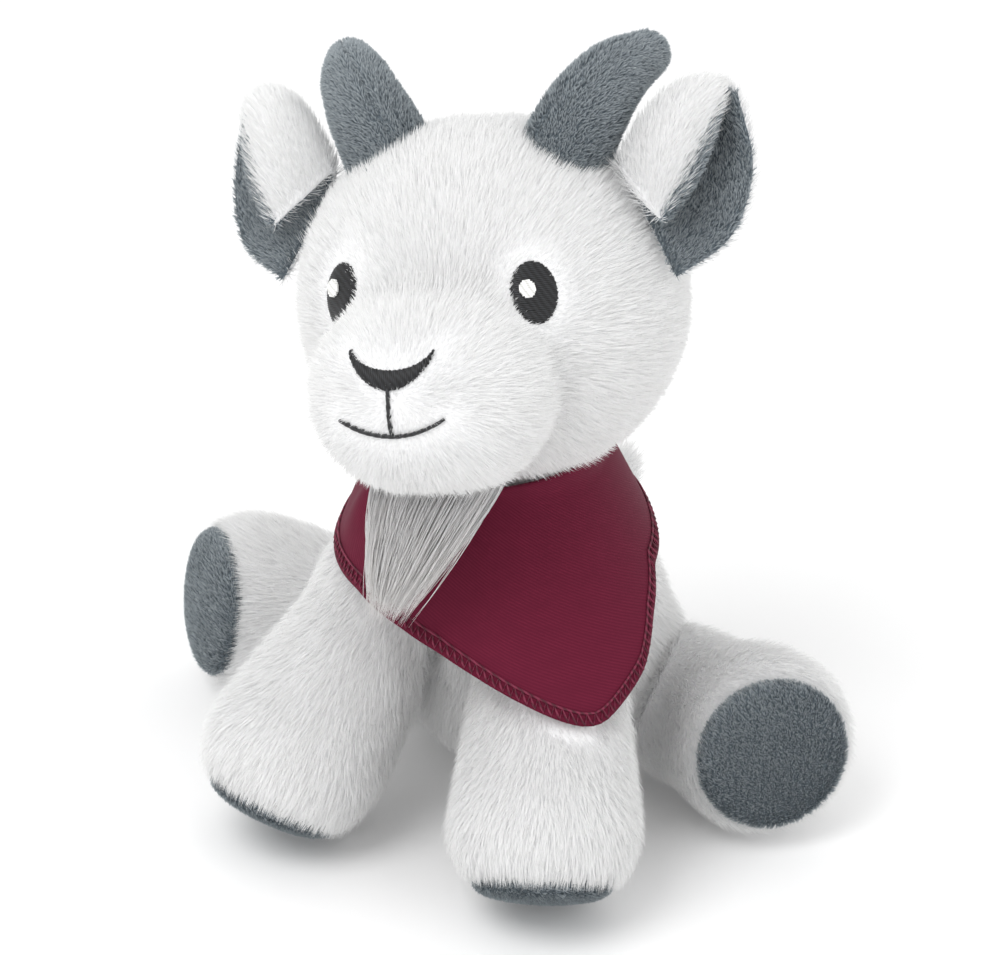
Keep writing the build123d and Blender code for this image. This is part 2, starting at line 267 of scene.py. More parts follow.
def knitMaterial(name, dark, light, pitch, roughness, depth, sheen=0.0):
    # Backing cloth: fine knit wales and courses with a slow mottle over them.
    material, tree = newMaterial(name)
    place = addNode(tree, "ShaderNodeTexCoord")
    wales = addNode(tree, "ShaderNodeTexWave", {"Vector": place.outputs["Object"], "Scale": 1 / (pitch * 6.28),
                                                "Distortion": 1.5, "Detail": 2.0, "Detail Scale": 2.0})
    wales.bands_direction = "X"
    slow = addNode(tree, "ShaderNodeTexNoise", {"Vector": place.outputs["Object"], "Scale": 140.0,
                                                "Detail": 4.0})
    both = addNode(tree, "ShaderNodeMath", {0: wales.outputs["Fac"], 1: slow.outputs["Fac"]},
                   operation="MULTIPLY")
    colour = addNode(tree, "ShaderNodeMixRGB", {"Fac": both.outputs[0], "Color1": hexColour(dark),
                                                "Color2": hexColour(light)})
    bump = addNode(tree, "ShaderNodeBump", {"Height": both.outputs[0], "Distance": depth, "Strength": 0.6})
    shader = addNode(tree, "ShaderNodeBsdfPrincipled", {"Base Color": colour.outputs[0], "Roughness": roughness,
                                                        "Normal": bump.outputs[0], "Sheen Weight": sheen})
    finishMaterial(tree, shader)
    return material


# White faux fur: soft polyester pile, white at the tips, with painted shade making it pale grey down at the
# backing
whitePile = pileMaterial("whiteFauxFur", "#f4f4f5", "#fcfcfc", "#f7f7f6", 0.9, 0.5)
whiteBacking = knitMaterial("whiteKnitBacking", "#f0f0f1", "#f7f7f7", 0.6 * mm, 0.9, 0.15 * mm)
# Silky long pile for the beard: straighter and a little glossier, its roots painted a shade darker as painted
# shade
beardPile = pileMaterial("silkyLongPile", "#f4f4f5", "#ffffff", "#faf9f8", 0.6, 0.65)
# Grey minky: very short dense pile whose nap catches the light in small streaks; the dark roots are painted
# shade and the pale tips a painted highlight
greyPile = pileMaterial("greyMinkyPile", "#757f86", "#bcc3c7", "#dfe1e2", 0.85, 0.3)
greyBacking = knitMaterial("greyMinkyBacking", "#5a646b", "#78838a", 0.6 * mm, 0.9, 0.15 * mm)


def clothMaterial():
    # Wine-red cotton jersey: fine rib along the grain, 0.5 mm apart drawn a little coarse so that it shows
    material, tree = newMaterial("wineCottonJersey")
    grain = addNode(tree, "ShaderNodeUVMap", uv_map="OFBake")
    scaled = addNode(tree, "ShaderNodeMapping", {"Vector": grain.outputs["UV"], "Scale": (200.0, 100.0, 1.0)})
    ribs = addNode(tree, "ShaderNodeTexWave", {"Vector": scaled.outputs[0], "Scale": 0.6, "Distortion": 1.0,
                                               "Detail": 2.0, "Detail Scale": 3.0})
    ribs.bands_direction = "DIAGONAL"
    mottle = addNode(tree, "ShaderNodeTexNoise", {"Vector": scaled.outputs[0], "Scale": 0.22, "Detail": 5.0})
    both = addNode(tree, "ShaderNodeMath", {0: ribs.outputs["Fac"], 1: mottle.outputs["Fac"]},
                   operation="MULTIPLY")
    colour = addNode(tree, "ShaderNodeMixRGB", {"Fac": both.outputs[0], "Color1": hexColour("#5a0f29"),
                                                "Color2": hexColour("#6b1832")})
    bump = addNode(tree, "ShaderNodeBump", {"Height": both.outputs[0], "Distance": 0.06 * mm, "Strength": 0.4})
    shader = addNode(tree, "ShaderNodeBsdfPrincipled", {"Base Color": colour.outputs[0], "Roughness": 0.85,
                                                        "Normal": bump.outputs[0], "Sheen Weight": 0.04,
                                                        "Sheen Roughness": 0.5, "Specular IOR Level": 0.2})
    finishMaterial(tree, shader)
    return material


def threadMaterial(name, dark, light, roughness):
    # Twisted embroidery thread: two plies wind along it, 0.5 mm a turn
    material, tree = newMaterial(name)
    place = addNode(tree, "ShaderNodeTexCoord")
    plies = addNode(tree, "ShaderNodeTexWave", {"Vector": place.outputs["Object"], "Scale": 320.0,
                                                "Distortion": 2.0})
    plies.bands_direction = "DIAGONAL"
    colour = addNode(tree, "ShaderNodeMixRGB", {"Fac": plies.outputs["Fac"], "Color1": hexColour(dark),
                                                "Color2": hexColour(light)})
    bump = addNode(tree, "ShaderNodeBump", {"Height": plies.outputs["Fac"], "Distance": 0.05 * mm,
                                            "Strength": 0.5})
    shader = addNode(tree, "ShaderNodeBsdfPrincipled", {"Base Color": colour.outputs[0], "Roughness": roughness,
                                                        "Normal": bump.outputs[0]})
    finishMaterial(tree, shader)
    return material


wineCloth = clothMaterial()
wineThread = threadMaterial("wineOverlockThread", "#4a0d20", "#7d2340", 0.7)
blackThread = threadMaterial("blackRayonThread", "#0b0b0c", "#26272a", 0.42)
whiteThread = threadMaterial("whiteRayonThread", "#d9d9d6", "#fdfdfc", 0.5)
seamTape = knitMaterial("whiteSeamTape", "#efefed", "#fbfbfa", 0.8 * mm, 0.9, 0.1 * mm)
bagCloth = knitMaterial("naturalPelletBagCloth", "#b9b2a2", "#d6d0c3", 0.8 * mm, 0.9, 0.1 * mm)
print("materials made")


def outerForm(name, wholeHull):
    # The outside of a hollow CAD cover: its largest closed shell, or the hull round it.
    form = bmesh.new()
    form.from_mesh(nodes[name].data)
    bmesh.ops.remove_doubles(form, verts=form.verts, dist=2e-6)
    if wholeHull:
        bmesh.ops.delete(form, geom=form.edges[:] + form.faces[:], context="EDGES_FACES")
        bmesh.ops.convex_hull(form, input=form.verts[:], use_existing_faces=False)
        loose = [v for v in form.verts if not v.link_faces]
        bmesh.ops.delete(form, geom=loose, context="VERTS")
        return form
    form.verts.ensure_lookup_table()
    seen, best, bestSize = set(), [], 0
    for start in form.verts:
        if start.index in seen:
            continue
        stack, group = [start], []
        seen.add(start.index)
        while stack:
            vert = stack.pop()
            group.append(vert)
            for edge in vert.link_edges:
                other = edge.other_vert(vert)
                if other.index not in seen:
                    seen.add(other.index)
                    stack.append(other)
        co = np.array([v.co for v in group])
        size = float(np.linalg.norm(co.max(0) - co.min(0)))
        if size > bestSize:
            best, bestSize = group, size
    keep = set(v.index for v in best)
    bmesh.ops.delete(form, geom=[v for v in form.verts if v.index not in keep], context="VERTS")
    return form


def softSkin(name, forms, voxel, rounds, inset, lump=0.35, seed=1.0, roots=()):
    # One closed soft form from one or more shells: merged, its seams softened, drawn in for the pile.
    # Round the joints at roots it keeps nearly its full size, so that limb and trunk still meet.
    joined = bmesh.new()
    for form in forms:
        part = bpy.data.meshes.new("part")
        form.to_mesh(part)
        form.free()
        joined.from_mesh(part)
        bpy.data.meshes.remove(part)
    mesh = bpy.data.meshes.new(name)
    joined.to_mesh(mesh)
    joined.free()
    ob = newObject(name, mesh)
    remesh = ob.modifiers.new("remesh", "REMESH")
    remesh.mode = "VOXEL"
    remesh.voxel_size = voxel
    soften = ob.modifiers.new("soften", "SMOOTH")
    soften.iterations = rounds
    soften.factor = 0.5
    baked(ob)
    co, out = places(ob.data), normals(ob.data)
    drawn = np.full(len(co), inset)
    for root in roots:
        near = 1 - smoothStep(np.linalg.norm(co - root, axis=1), 15 * mm, 25 * mm)
        drawn = np.minimum(drawn, inset + (0.5 * mm - inset) * near)
    co = co - out * drawn[:, None] + out * (lump * mm * lumps(co, 16 * mm, seed))[:, None]
    setPlaces(ob.data, co)
    ob.data.shade_smooth()
    return ob


soleSize = {"setback": {"front": 15.3, "hind": 12.5}, "sink": 1.6, "dome": 1.8, "edge": 1.4,
            "rings": 22, "sides": 64, "inset": 1.0}
skinSize = {"voxel": 1.5 * mm, "inset": 2.9 * mm, "rounds": 8}

headSkin = softSkin("head_skin", [outerForm("head_cover", True), outerForm("muzzle_cover", True)],
                    skinSize["voxel"], 14, skinSize["inset"], seed=2.0)
limbRoots = {body: np.array(joints[body + ("_lift" if "front" in body else "_splay")]["pos_m"])
             for body in feet}
torsoSkin = softSkin("torso_skin", [outerForm("torso_cover", False)], skinSize["voxel"], skinSize["rounds"],
                     skinSize["inset"], seed=3.0, roots=tuple(limbRoots.values()))
limbSkins = {}
for body in ("front_leg_left", "front_leg_right", "hind_leg_left", "hind_leg_right"):
    forms = [outerForm(body + "_cover", False)]
    if "front" in body:
        # The front paws bulge round over their soles
        forms.append(bmesh.new())
        bmesh.ops.create_icosphere(forms[1], subdivisions=4, radius=footRadius - 0.4 * mm,
                                   matrix=Matrix.Translation(feet[body]))
    # Everything past the sole's seam is drawn back behind it.
    setback = soleSize["setback"][body.split("_")[0]] * mm
    for form in forms:
        for vert in form.verts:
            past = float((np.array(vert.co) - feet[body]) @ soleAims[body]) - setback
            if past > 0:
                vert.co -= Vector(soleAims[body]) * past
    limbSkins[body] = softSkin(body + "_skin", forms, skinSize["voxel"], skinSize["rounds"], skinSize["inset"],
                               seed=len(limbSkins) + 4.0, roots=(limbRoots[body],))
tailSkin = softSkin("tail_skin", [outerForm("tail_cover", False)], 1.0 * mm, 4, 1.2 * mm, lump=0.1)

# The head's underside is hollowed where it sits on the neck.
co = places(headSkin.data)
away = co - neckCentre
reach = np.linalg.norm(away, axis=1)
socket = 23.8 * mm
inSocket = reach < socket
co[inSocket] = neckCentre + away[inSocket] / reach[inSocket][:, None] * socket
setPlaces(headSkin.data, co)
skins = {"head": headSkin, "torso": torsoSkin, "tail": tailSkin, **limbSkins}
print("skins made", {k: len(s.data.polygons) for k, s in skins.items()})


def treeOf(ob):
    return BVHTree.FromObject(ob, bpy.context.evaluated_depsgraph_get())


bpy.context.view_layer.update()
skinTrees = {body: treeOf(ob) for body, ob in skins.items()}


faceSize = {"eyeHalfWidth": 4.7, "eyeHalfHeight": 6.3, "eyeTurn": 33.4, "eyeLift": 14.0,
            "noseHalfWidth": 8.8, "noseRise": 5.6, "noseThick": 3.8, "noseLift": 22.5, "noseEnd": 1.0,
            "philtrum": 7.6, "mouthHalfWidth": 11.2, "mouthRise": 3.2, "threadWidth": 1.1}


def eyeAxes(side):
    turn, lift = radians(faceSize["eyeTurn"]), radians(faceSize["eyeLift"])
    aim = np.array([side * sin(turn) * cos(lift), -cos(turn) * cos(lift), sin(lift)])
    across = np.array([cos(turn), side * sin(turn), 0])
    return aim, across, np.cross(aim, across)


def noseAxes():
    lift = radians(faceSize["noseLift"])
    aim = np.array([0, -cos(lift), sin(lift)])
    across = np.array([1.0, 0, 0])
    return aim, across, np.cross(aim, across)


def arcHeight(x, halfWidth, rise):
    # Height above its low point of the arc that reaches rise at halfWidth.
    radius = (halfWidth**2 + rise**2) / (2 * rise)
    return radius - np.sqrt(np.maximum(radius**2 - np.asarray(x, float)**2, 0))


noseMiddle = np.array([-1.7, -headSize["muzzleForward"], -headSize["muzzleDrop"]])
mouthLow = -faceSize["noseThick"] / 2 - faceSize["philtrum"] - faceSize["threadWidth"]


def featureDistance(co):
    # How far each point is, in mm along the face, from the nearest stitched edge.
    p = toHead(co)
    best = np.full(len(p), 99.0)
    for side in (1, -1):
        aim, across, up = eyeAxes(side)
        x, y, z = p @ across, p @ up, p @ aim
        q = np.sqrt((x / faceSize["eyeHalfWidth"])**2 + (y / faceSize["eyeHalfHeight"])**2)
        best = np.where(z > 20, np.minimum(best, (q - 1) * 5.4), best)
    aim, across, up = noseAxes()
    local = p - noseMiddle
    x, y, z = local @ across, local @ up, local @ aim
    front = z > 5
    noseHalf = faceSize["noseHalfWidth"]
    inside = np.clip(x, -noseHalf, noseHalf)
    thick = faceSize["noseEnd"] + (faceSize["noseThick"] - faceSize["noseEnd"]) * (1 - (inside / noseHalf)**2)
    bow = np.hypot(x - inside, y - arcHeight(inside, noseHalf, faceSize["noseRise"])) - thick / 2
    best = np.where(front, np.minimum(best, bow), best)
    fall = np.clip(y, mouthLow, 0)
    best = np.where(front, np.minimum(best, np.hypot(x, y - fall) - 0.5), best)
    mouthHalf = faceSize["mouthHalfWidth"]
    inside = np.clip(x, -mouthHalf, mouthHalf)
    smile = np.hypot(x - inside, y - mouthLow - arcHeight(inside, mouthHalf, faceSize["mouthRise"])) - 0.5
    return np.where(front, np.minimum(best, smile), best)


# Under the stitches the skin stands nearly as high as the pile round it.
co, out = places(headSkin.data), normals(headSkin.data)
lift = 1.15 * mm * np.exp(-(np.maximum(featureDistance(co), 0) / 3.5)**2)
setPlaces(headSkin.data, co + out * lift[:, None])
bpy.context.view_layer.update()
skinTrees["head"] = treeOf(headSkin)


def ontoSkin(points, aim, proud):
    # Points in the head's frame, moved along aim onto the skin and lifted by proud mm.
    start = fromHead(points)
    direction = unit(aim @ headTurn.T)
    lifted = []
    for p, rise in zip(start, np.broadcast_to(proud, len(start))):
        hit, normal, _, _ = skinTrees["head"].ray_cast(Vector(p + direction * 60 * mm), Vector(-direction))
        lifted.append(np.array(hit) + np.array(normal) * rise * mm if hit is not None else p)
    return np.array(lifted)


def mapStrands(tree, geometry):
    # Its own map on each strand: length along it, and a row of its own for its tint
    along, across, tint = (addNode(tree, "GeometryNodeInputNamedAttribute", {"Name": name},
                                   data_type="FLOAT").outputs[0] for name in ("along", "across", "tint"))
    wide = addNode(tree, "ShaderNodeMath", {0: across, 1: 1 / 256}, operation="MULTIPLY").outputs[0]
    row = addNode(tree, "ShaderNodeMath", {0: tint, 1: 255 / 256, 2: wide}, operation="MULTIPLY_ADD").outputs[0]
    place = addNode(tree, "ShaderNodeCombineXYZ", {0: along, 1: row}).outputs[0]
    return addNode(tree, "GeometryNodeStoreNamedAttribute", {"Geometry": geometry, "Name": "OFBake",
                                                             "Value": place},
                   data_type="FLOAT2", domain="CORNER")


def threadTree():
    # Lines to round threads, one mesh: radius from the points' own "thickness"
    tree = bpy.data.node_groups.new("threads", "GeometryNodeTree")
    tree.interface.new_socket("Geometry", in_out="INPUT", socket_type="NodeSocketGeometry")
    tree.interface.new_socket("Sides", in_out="INPUT", socket_type="NodeSocketInt")
    tree.interface.new_socket("Material", in_out="INPUT", socket_type="NodeSocketMaterial")
    tree.interface.new_socket("Geometry", in_out="OUTPUT", socket_type="NodeSocketGeometry")
    given = tree.nodes.new("NodeGroupInput")
    curve = addNode(tree, "GeometryNodeMeshToCurve", {"Mesh": given.outputs["Geometry"]})
    share = tree.nodes.new("GeometryNodeSplineParameter").outputs["Factor"]
    measured = addNode(tree, "GeometryNodeStoreNamedAttribute", {"Geometry": curve.outputs[0], "Name": "along",
                                                                 "Value": share},
                       data_type="FLOAT", domain="POINT")
    chance = addNode(tree, "FunctionNodeRandomValue", {"Seed": 4})
    tinted = addNode(tree, "GeometryNodeStoreNamedAttribute", {"Geometry": measured.outputs[0], "Name": "tint",
                                                               "Value": chance.outputs[1]},
                     data_type="FLOAT", domain="CURVE")
    ring = addNode(tree, "GeometryNodeCurvePrimitiveCircle", {"Resolution": given.outputs["Sides"],
                                                              "Radius": 1.0})
    measuredRing = addNode(tree, "GeometryNodeStoreNamedAttribute", {
        "Geometry": ring.outputs[0], "Name": "across", "Value": share}, data_type="FLOAT", domain="POINT")
    thickness = addNode(tree, "GeometryNodeInputNamedAttribute", {"Name": "thickness"}, data_type="FLOAT")
    tube = addNode(tree, "GeometryNodeCurveToMesh", {
        "Curve": tinted.outputs[0], "Profile Curve": measuredRing.outputs[0], "Scale": thickness.outputs[0],
        "Fill Caps": True})
    plain = addNode(tree, "GeometryNodeRealizeInstances", {0: tube.outputs[0]})
    mapped = mapStrands(tree, plain.outputs[0])
    for name in ("along", "across", "tint", "thickness"):
        mapped = addNode(tree, "GeometryNodeRemoveAttribute", {"Geometry": mapped.outputs[0], "Name": name})
    painted = addNode(tree, "GeometryNodeSetMaterial", {"Geometry": mapped.outputs[0],
                                                        "Material": given.outputs["Material"]})
    addNode(tree, "NodeGroupOutput", {0: painted.outputs[0]})
    return tree


threads = threadTree()


def setInput(modifier, name, value):
    for item in modifier.node_group.interface.items_tree:
        if item.item_type == "SOCKET" and item.in_out == "INPUT" and item.name == name:
            modifier[item.identifier] = value
            return
    raise KeyError(name)


def threadPiece(name, lines, thickness, material, sides=6):
    # lines: runs of points in metres; thickness: one radius, or one for each point of each line
    points, edges, radii = [], [], []
    for number, line in enumerate(lines):
        first = len(points)
        points.extend(line)
        edges.extend((first + i, first + i + 1) for i in range(len(line) - 1))
        radii.extend(np.broadcast_to(thickness if np.isscalar(thickness) else thickness[number], len(line)))
    mesh = meshFrom(name, points, [], edges)
    setAttribute(mesh, "thickness", np.array(radii))
    ob = newObject(name, mesh, smooth=False)
    modifier = ob.modifiers.new("threads", "NODES")
    modifier.node_group = threads
    setInput(modifier, "Sides", sides)
    setInput(modifier, "Material", material)
    baked(ob)
    ob.data.shade_smooth()
    return ob


def satinRows(halfWidth, halfHeight, pitch, wander):
    # Rows of satin stitch across an oval, its edge a little uneven as real stitches are
    rows = []
    count = int(2 * halfHeight / pitch)
    for k in range(count + 1):
        y = -halfHeight + 2 * halfHeight * (k + 0.5) / (count + 1)
        half = halfWidth * sqrt(max(1 - (y / halfHeight)**2, 0.02))
        half += wander * sin(k * 2.4)
        rows.append([(half * s, y) for s in np.linspace(-1, 1, 9)])
    return rows


stitchSize = {"pitch": 0.40, "radius": 0.27 * mm, "proud": 0.25, "dome": 0.55}


def eyeStitches(side):
    aim, across, up = eyeAxes(side)
    lines = []
    for row in satinRows(faceSize["eyeHalfWidth"], faceSize["eyeHalfHeight"], stitchSize["pitch"], 0.12):
        flat = np.array([x * across + y * up + 30 * aim for x, y in row])
        edge = np.array([(x / faceSize["eyeHalfWidth"])**2 + (y / faceSize["eyeHalfHeight"])**2
                         for x, y in row])
        proud = stitchSize["proud"] + stitchSize["dome"] * np.sqrt(np.clip(1 - edge, 0, 1)) \
            - 0.25 * (edge > 0.95)
        lines.append(ontoSkin(flat, aim, proud))
    word = "left" if side > 0 else "right"
    piece = threadPiece("eye_stitches_" + word, lines, stitchSize["radius"], blackThread)
    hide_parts("eye_" + word)
    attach(piece, "head")
    middle = np.array([-1.4 * side if side > 0 else -1.4, 0.9])
    dotLines = []
    for row in satinRows(1.65, 1.75, 0.42, 0.05):
        flat = np.array([(x + middle[0]) * across + (y + middle[1]) * up + 30 * aim for x, y in row])
        dotLines.append(ontoSkin(flat, aim, stitchSize["proud"] + stitchSize["dome"] + 0.42))
    dot = threadPiece("eye_highlight_stitches_" + word, dotLines, 0.26 * mm, whiteThread)
    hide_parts("eye_highlight_" + word)
    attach(dot, "head")


for side in (1, -1):
    eyeStitches(side)


def noseStitches():
    aim, across, up = noseAxes()
    half = faceSize["noseHalfWidth"]
    lines = []
    for x in np.linspace(-half, half, 44):
        middle = float(arcHeight(x, half, faceSize["noseRise"]))
        thick = faceSize["noseEnd"] + (faceSize["noseThick"] - faceSize["noseEnd"]) * (1 - (x / half)**2)
        thick += 0.18 * sin(x * 9)
        share = np.linspace(-0.5, 0.5, 6)
        flat = np.array([x * across + (middle + thick * s) * up for s in share]) + noseMiddle + 10 * aim
        proud = stitchSize["proud"] + 0.5 * np.sqrt(np.clip(1 - (share * 2)**2, 0, 1))
        lines.append(ontoSkin(flat, aim, proud))
    piece = threadPiece("nose_stitches", lines, stitchSize["radius"], blackThread)
    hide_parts("nose")
    return piece


def stemStitch(name, path, node, count):
    # Short slanted stitches that overlap along a line, as a hand would sew it
    aim, across, up = noseAxes()
    path = np.asarray(path, float)
    lines = []
    step = (len(path) - 1) / count
    for k in range(count):
        ends = np.clip([(k - 0.35) * step, (k + 1.25) * step], 0, len(path) - 1)
        share = np.linspace(ends[0], ends[1], 7)
        x = np.interp(share, range(len(path)), path[:, 0])
        y = np.interp(share, range(len(path)), path[:, 1])
        slant = np.linspace(-0.2, 0.2, 7)
        flat = x[:, None] * across + (y + slant * 0.8)[:, None] * up + (slant * 0.8)[:, None] * across
        lines.append(ontoSkin(flat + noseMiddle + 10 * aim, aim, 0.25 + 0.25 * np.sin(np.linspace(0, pi, 7))))
    piece = threadPiece(name, lines, 0.36 * mm, blackThread)
    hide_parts(node)
    return piece


lipX = np.linspace(-faceSize["mouthHalfWidth"], faceSize["mouthHalfWidth"], 41)
lip = np.stack([lipX, mouthLow + arcHeight(lipX, faceSize["mouthHalfWidth"], faceSize["mouthRise"])], 1)
drop = np.stack([np.zeros(15), np.linspace(-faceSize["noseThick"] / 2 + 0.4, mouthLow, 15)], 1)
for piece in (noseStitches(), stemStitch("philtrum_stitches", drop, "philtrum", 5),
              stemStitch("mouth_stitches", lip, "mouth", 14)):
    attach(piece, "head")
print("face stitched")


kerchiefSize = {
    "flatWidth": 216.0, "flatLength": 60.0, "flatArea": 7600.0,
    "topRadius": 25.6, "slope": 0.645, "backDrop": 0.3, "topHeight": 87.0, "pointTurn": 51.0, "thickness": 0.7,
    # hem: turn about the neck from straight ahead towards the goat's left, and height
    "hem": [(-128, 72), (-100, 69), (-54, 66), (-22, 64.5), (-2, 61.5), (11, 58.5), (20, 55.5), (34, 50.3),
            (44, 46.2), (48, 44.9), (51, 44.5), (54, 45.2), (58, 47.2), (67.5, 52.2), (77, 60), (90, 66.5),
            (130, 69), (190, 71), (232, 72)],
    "top": [(-128, 90), (-100, 91), (-60, 90), (-20, 86.5), (10, 88), (29, 90), (61, 92), (80, 92.5),
            (100, 92.5), (140, 92), (190, 91), (232, 90)],
}


def fromPoint(turn):
    # Degrees round the neck from the kerchief's point
    return np.abs((np.asarray(turn, float) - kerchiefSize["pointTurn"] + 180) % 360 - 180)


def kerchiefPoint(turn, share, lift=0.0):
    # turn in degrees, share from 0 at the hem to 1 at the top edge; lift in mm off the cloth
    turn = np.asarray(turn, float)
    low = np.interp(turn, *zip(*kerchiefSize["hem"]))
    high = np.interp(turn, *zip(*kerchiefSize["top"]))
    height = low + (high - low) * share
    slope = kerchiefSize["slope"] - kerchiefSize["backDrop"] * smoothStep(fromPoint(turn), 45, 130)
    radius = kerchiefSize["topRadius"] + (kerchiefSize["topHeight"] - height) * slope
    radius = np.where(height > 87, kerchiefSize["topRadius"] + (height - 87) * 0.12, radius)
    slack = smoothStep(90 - height, 0, 30)
    folds = 1.1 * np.sin(radians(1) * (turn - 51) * 3.1 + (height - 50) * 0.05) * slack
    folds = folds + 0.9 * np.exp(-((turn - 20 - (85 - height) * 0.5) / 7)**2) * slack
    folds = folds - 1.8 * np.exp(-((turn - 112) / 30)**2)
    folds = folds + 2.2 * np.exp(-((turn + 36 + (84 - height) * 0.6) / 8)**2) * smoothStep(height, 68, 80)
    gather = smoothStep(np.minimum(np.abs(turn - 231), np.abs(turn + 129)), 0, 40)
    radius = radius + folds * gather + lift
    angle = np.radians(turn)
    return np.stack([radius * np.sin(angle), -radius * np.cos(angle), height], -1) * mm + neckAxis


turnStart, turnEnd = -128.0, 232.0
columns, rows = 181, 29
turns = np.linspace(turnStart, turnEnd, columns)
shares = np.linspace(0, 1, rows)
grid = np.array([kerchiefPoint(turns, s) for s in shares])


def clearOfSkins(points, gap):
    # Points nearer than gap to the trunk or a front leg are pushed out along that skin's normal.
    moved = points.copy()
    for i, p in enumerate(moved):
        for body in ("torso", "front_leg_left", "front_leg_right"):
            hit, normal, _, distance = skinTrees[body].find_nearest(Vector(p), 3.5 * mm)
            if hit is None:
                continue
            side = (Vector(moved[i]) - hit).dot(normal)
            if side < gap:
                moved[i] = moved[i] + np.array(normal) * (gap - side)
    return moved


flatGrid = clearOfSkins(grid.reshape(-1, 3), 1.9 * mm)
faces = []
for r in range(rows - 1):
    for c in range(columns - 1):
        a = r * columns + c
        faces.append((a, a + 1, a + columns + 1, a + columns))
sheetMesh = meshFrom("kerchief", flatGrid, faces)
kerchief = newObject("kerchief", sheetMesh, wineCloth)
form = bmesh.new()
form.from_mesh(kerchief.data)
bmesh.ops.remove_doubles(form, verts=form.verts, dist=1e-5)
form.to_mesh(kerchief.data)
form.free()
soften = kerchief.modifiers.new("soften", "SMOOTH")
soften.iterations = 4
soften.factor = 0.5
baked(kerchief)
# Grain of the cloth as its own map: width round the neck and length down it, as shares of 216 x 60 mm
co = places(kerchief.data)
turnOf = np.degrees(np.arctan2(co[:, 0] - neckAxis[0], -(co[:, 1] - neckAxis[1]))) - kerchiefSize["pointTurn"]
turnOf = (turnOf + 180) % 360 - 180
grainMap = kerchief.data.uv_layers.new(name="OFBake")
loops = np.empty(len(kerchief.data.loops), np.int32)
kerchief.data.loops.foreach_get("vertex_index", loops)
wide = np.radians(turnOf) * 34 / 216 + 0.5
tall = (co[:, 2] / mm - 40) / 60
loopTurn = wide[loops]
for polygon in kerchief.data.polygons:
    own = list(polygon.loop_indices)
    values = loopTurn[own]
    if values.max() - values.min() > 0.5:
        loopTurn[own] = np.where(values < 0.5, values + 0.989, values)
grainMap.uv.foreach_set("vector", np.stack([np.clip(loopTurn, 0, 1), np.clip(tall[loops], 0, 1)], 1)
                        .astype(np.float32).ravel())
solid = kerchief.modifiers.new("thickness", "SOLIDIFY")
solid.thickness = kerchiefSize["thickness"] * mm
solid.offset = 0.0
baked(kerchief)
kerchief.data.shade_smooth()
clothTree = treeOf(kerchief)
areaOneSide = sum(p.area for p in kerchief.data.polygons) / 2
print("kerchief area cm2", round(areaOneSide * 1e4, 1))


def onCloth(turn, share, lift):
    p = kerchiefPoint(np.atleast_1d(turn), np.atleast_1d(share))
    out = []
    for q, rise in zip(p, np.broadcast_to(lift, len(p))):
        axis = neckAxis + [0, 0, q[2]]
        outward = unit(q - axis)
        hit, normal, _, _ = clothTree.ray_cast(Vector(axis + outward * 90 * mm), Vector(-outward))
        base = np.array(hit) if hit is not None else q
        out.append(base + outward * rise * mm)
    return np.array(out)


# Overlock hem: needle line, and loops that go round the edge and back
hemTurns = [turnStart + 4]
while hemTurns[-1] < turnEnd - 4:
    here = hemTurns[-1]
    edge = kerchiefPoint(np.array([here, here + 1.0]), 0.0)
    hemTurns.append(here + 1.9 * mm / max(np.linalg.norm(edge[1] - edge[0]), 0.2 * mm))
hemTurns = np.array(hemTurns)
zigzag = []
needleLine = []
for k, turn in enumerate(hemTurns):
    low = np.interp(turn, *zip(*kerchiefSize["hem"]))
    high = np.interp(turn, *zip(*kerchiefSize["top"]))
    up = 3.2 / (high - low)
    stepTurn = (hemTurns[min(k + 1, len(hemTurns) - 1)] - turn) / 2
    inner = onCloth(turn, up, 0.18)[0]
    outer = onCloth(turn + stepTurn, 1.0 / (high - low), 0.15)[0]
    zigzag.extend([inner, (inner * 0.5 + outer * 0.5) + (onCloth(turn + stepTurn / 2, up / 2, 0.35)[0]
                   - (inner * 0.5 + outer * 0.5)) * 0.7, outer])
    needleLine.append(onCloth(turn, up, 0.25)[0])
hem = threadPiece("kerchief_hem", [zigzag, needleLine], 0.26 * mm, wineThread, sides=5)
print("kerchief and hem made")


earSize = {
    "front": [(42.5, -12.0, 19.0), (47.5, -7.5, 27.0), (50.3, -2.0, 34.5), (52.0, 4.5, 41.0)],
    "fold": [(32.5, -3.5, 27.5), (38.0, -1.0, 35.0), (44.0, 2.8, 41.0), (50.5, 6.5, 43.2)],
    "back": [(43.5, -8.5, 6.5), (54.0, -3.0, 13.5), (57.5, 4.5, 26.0), (54.5, 7.8, 41.0)],
    "opening": (0.74, -0.64, -0.2), "frontSwell": 3.4, "backDepth": 6.5,
    "skin": 1.1, "lining": 1.0, "roll": 1.5,
}


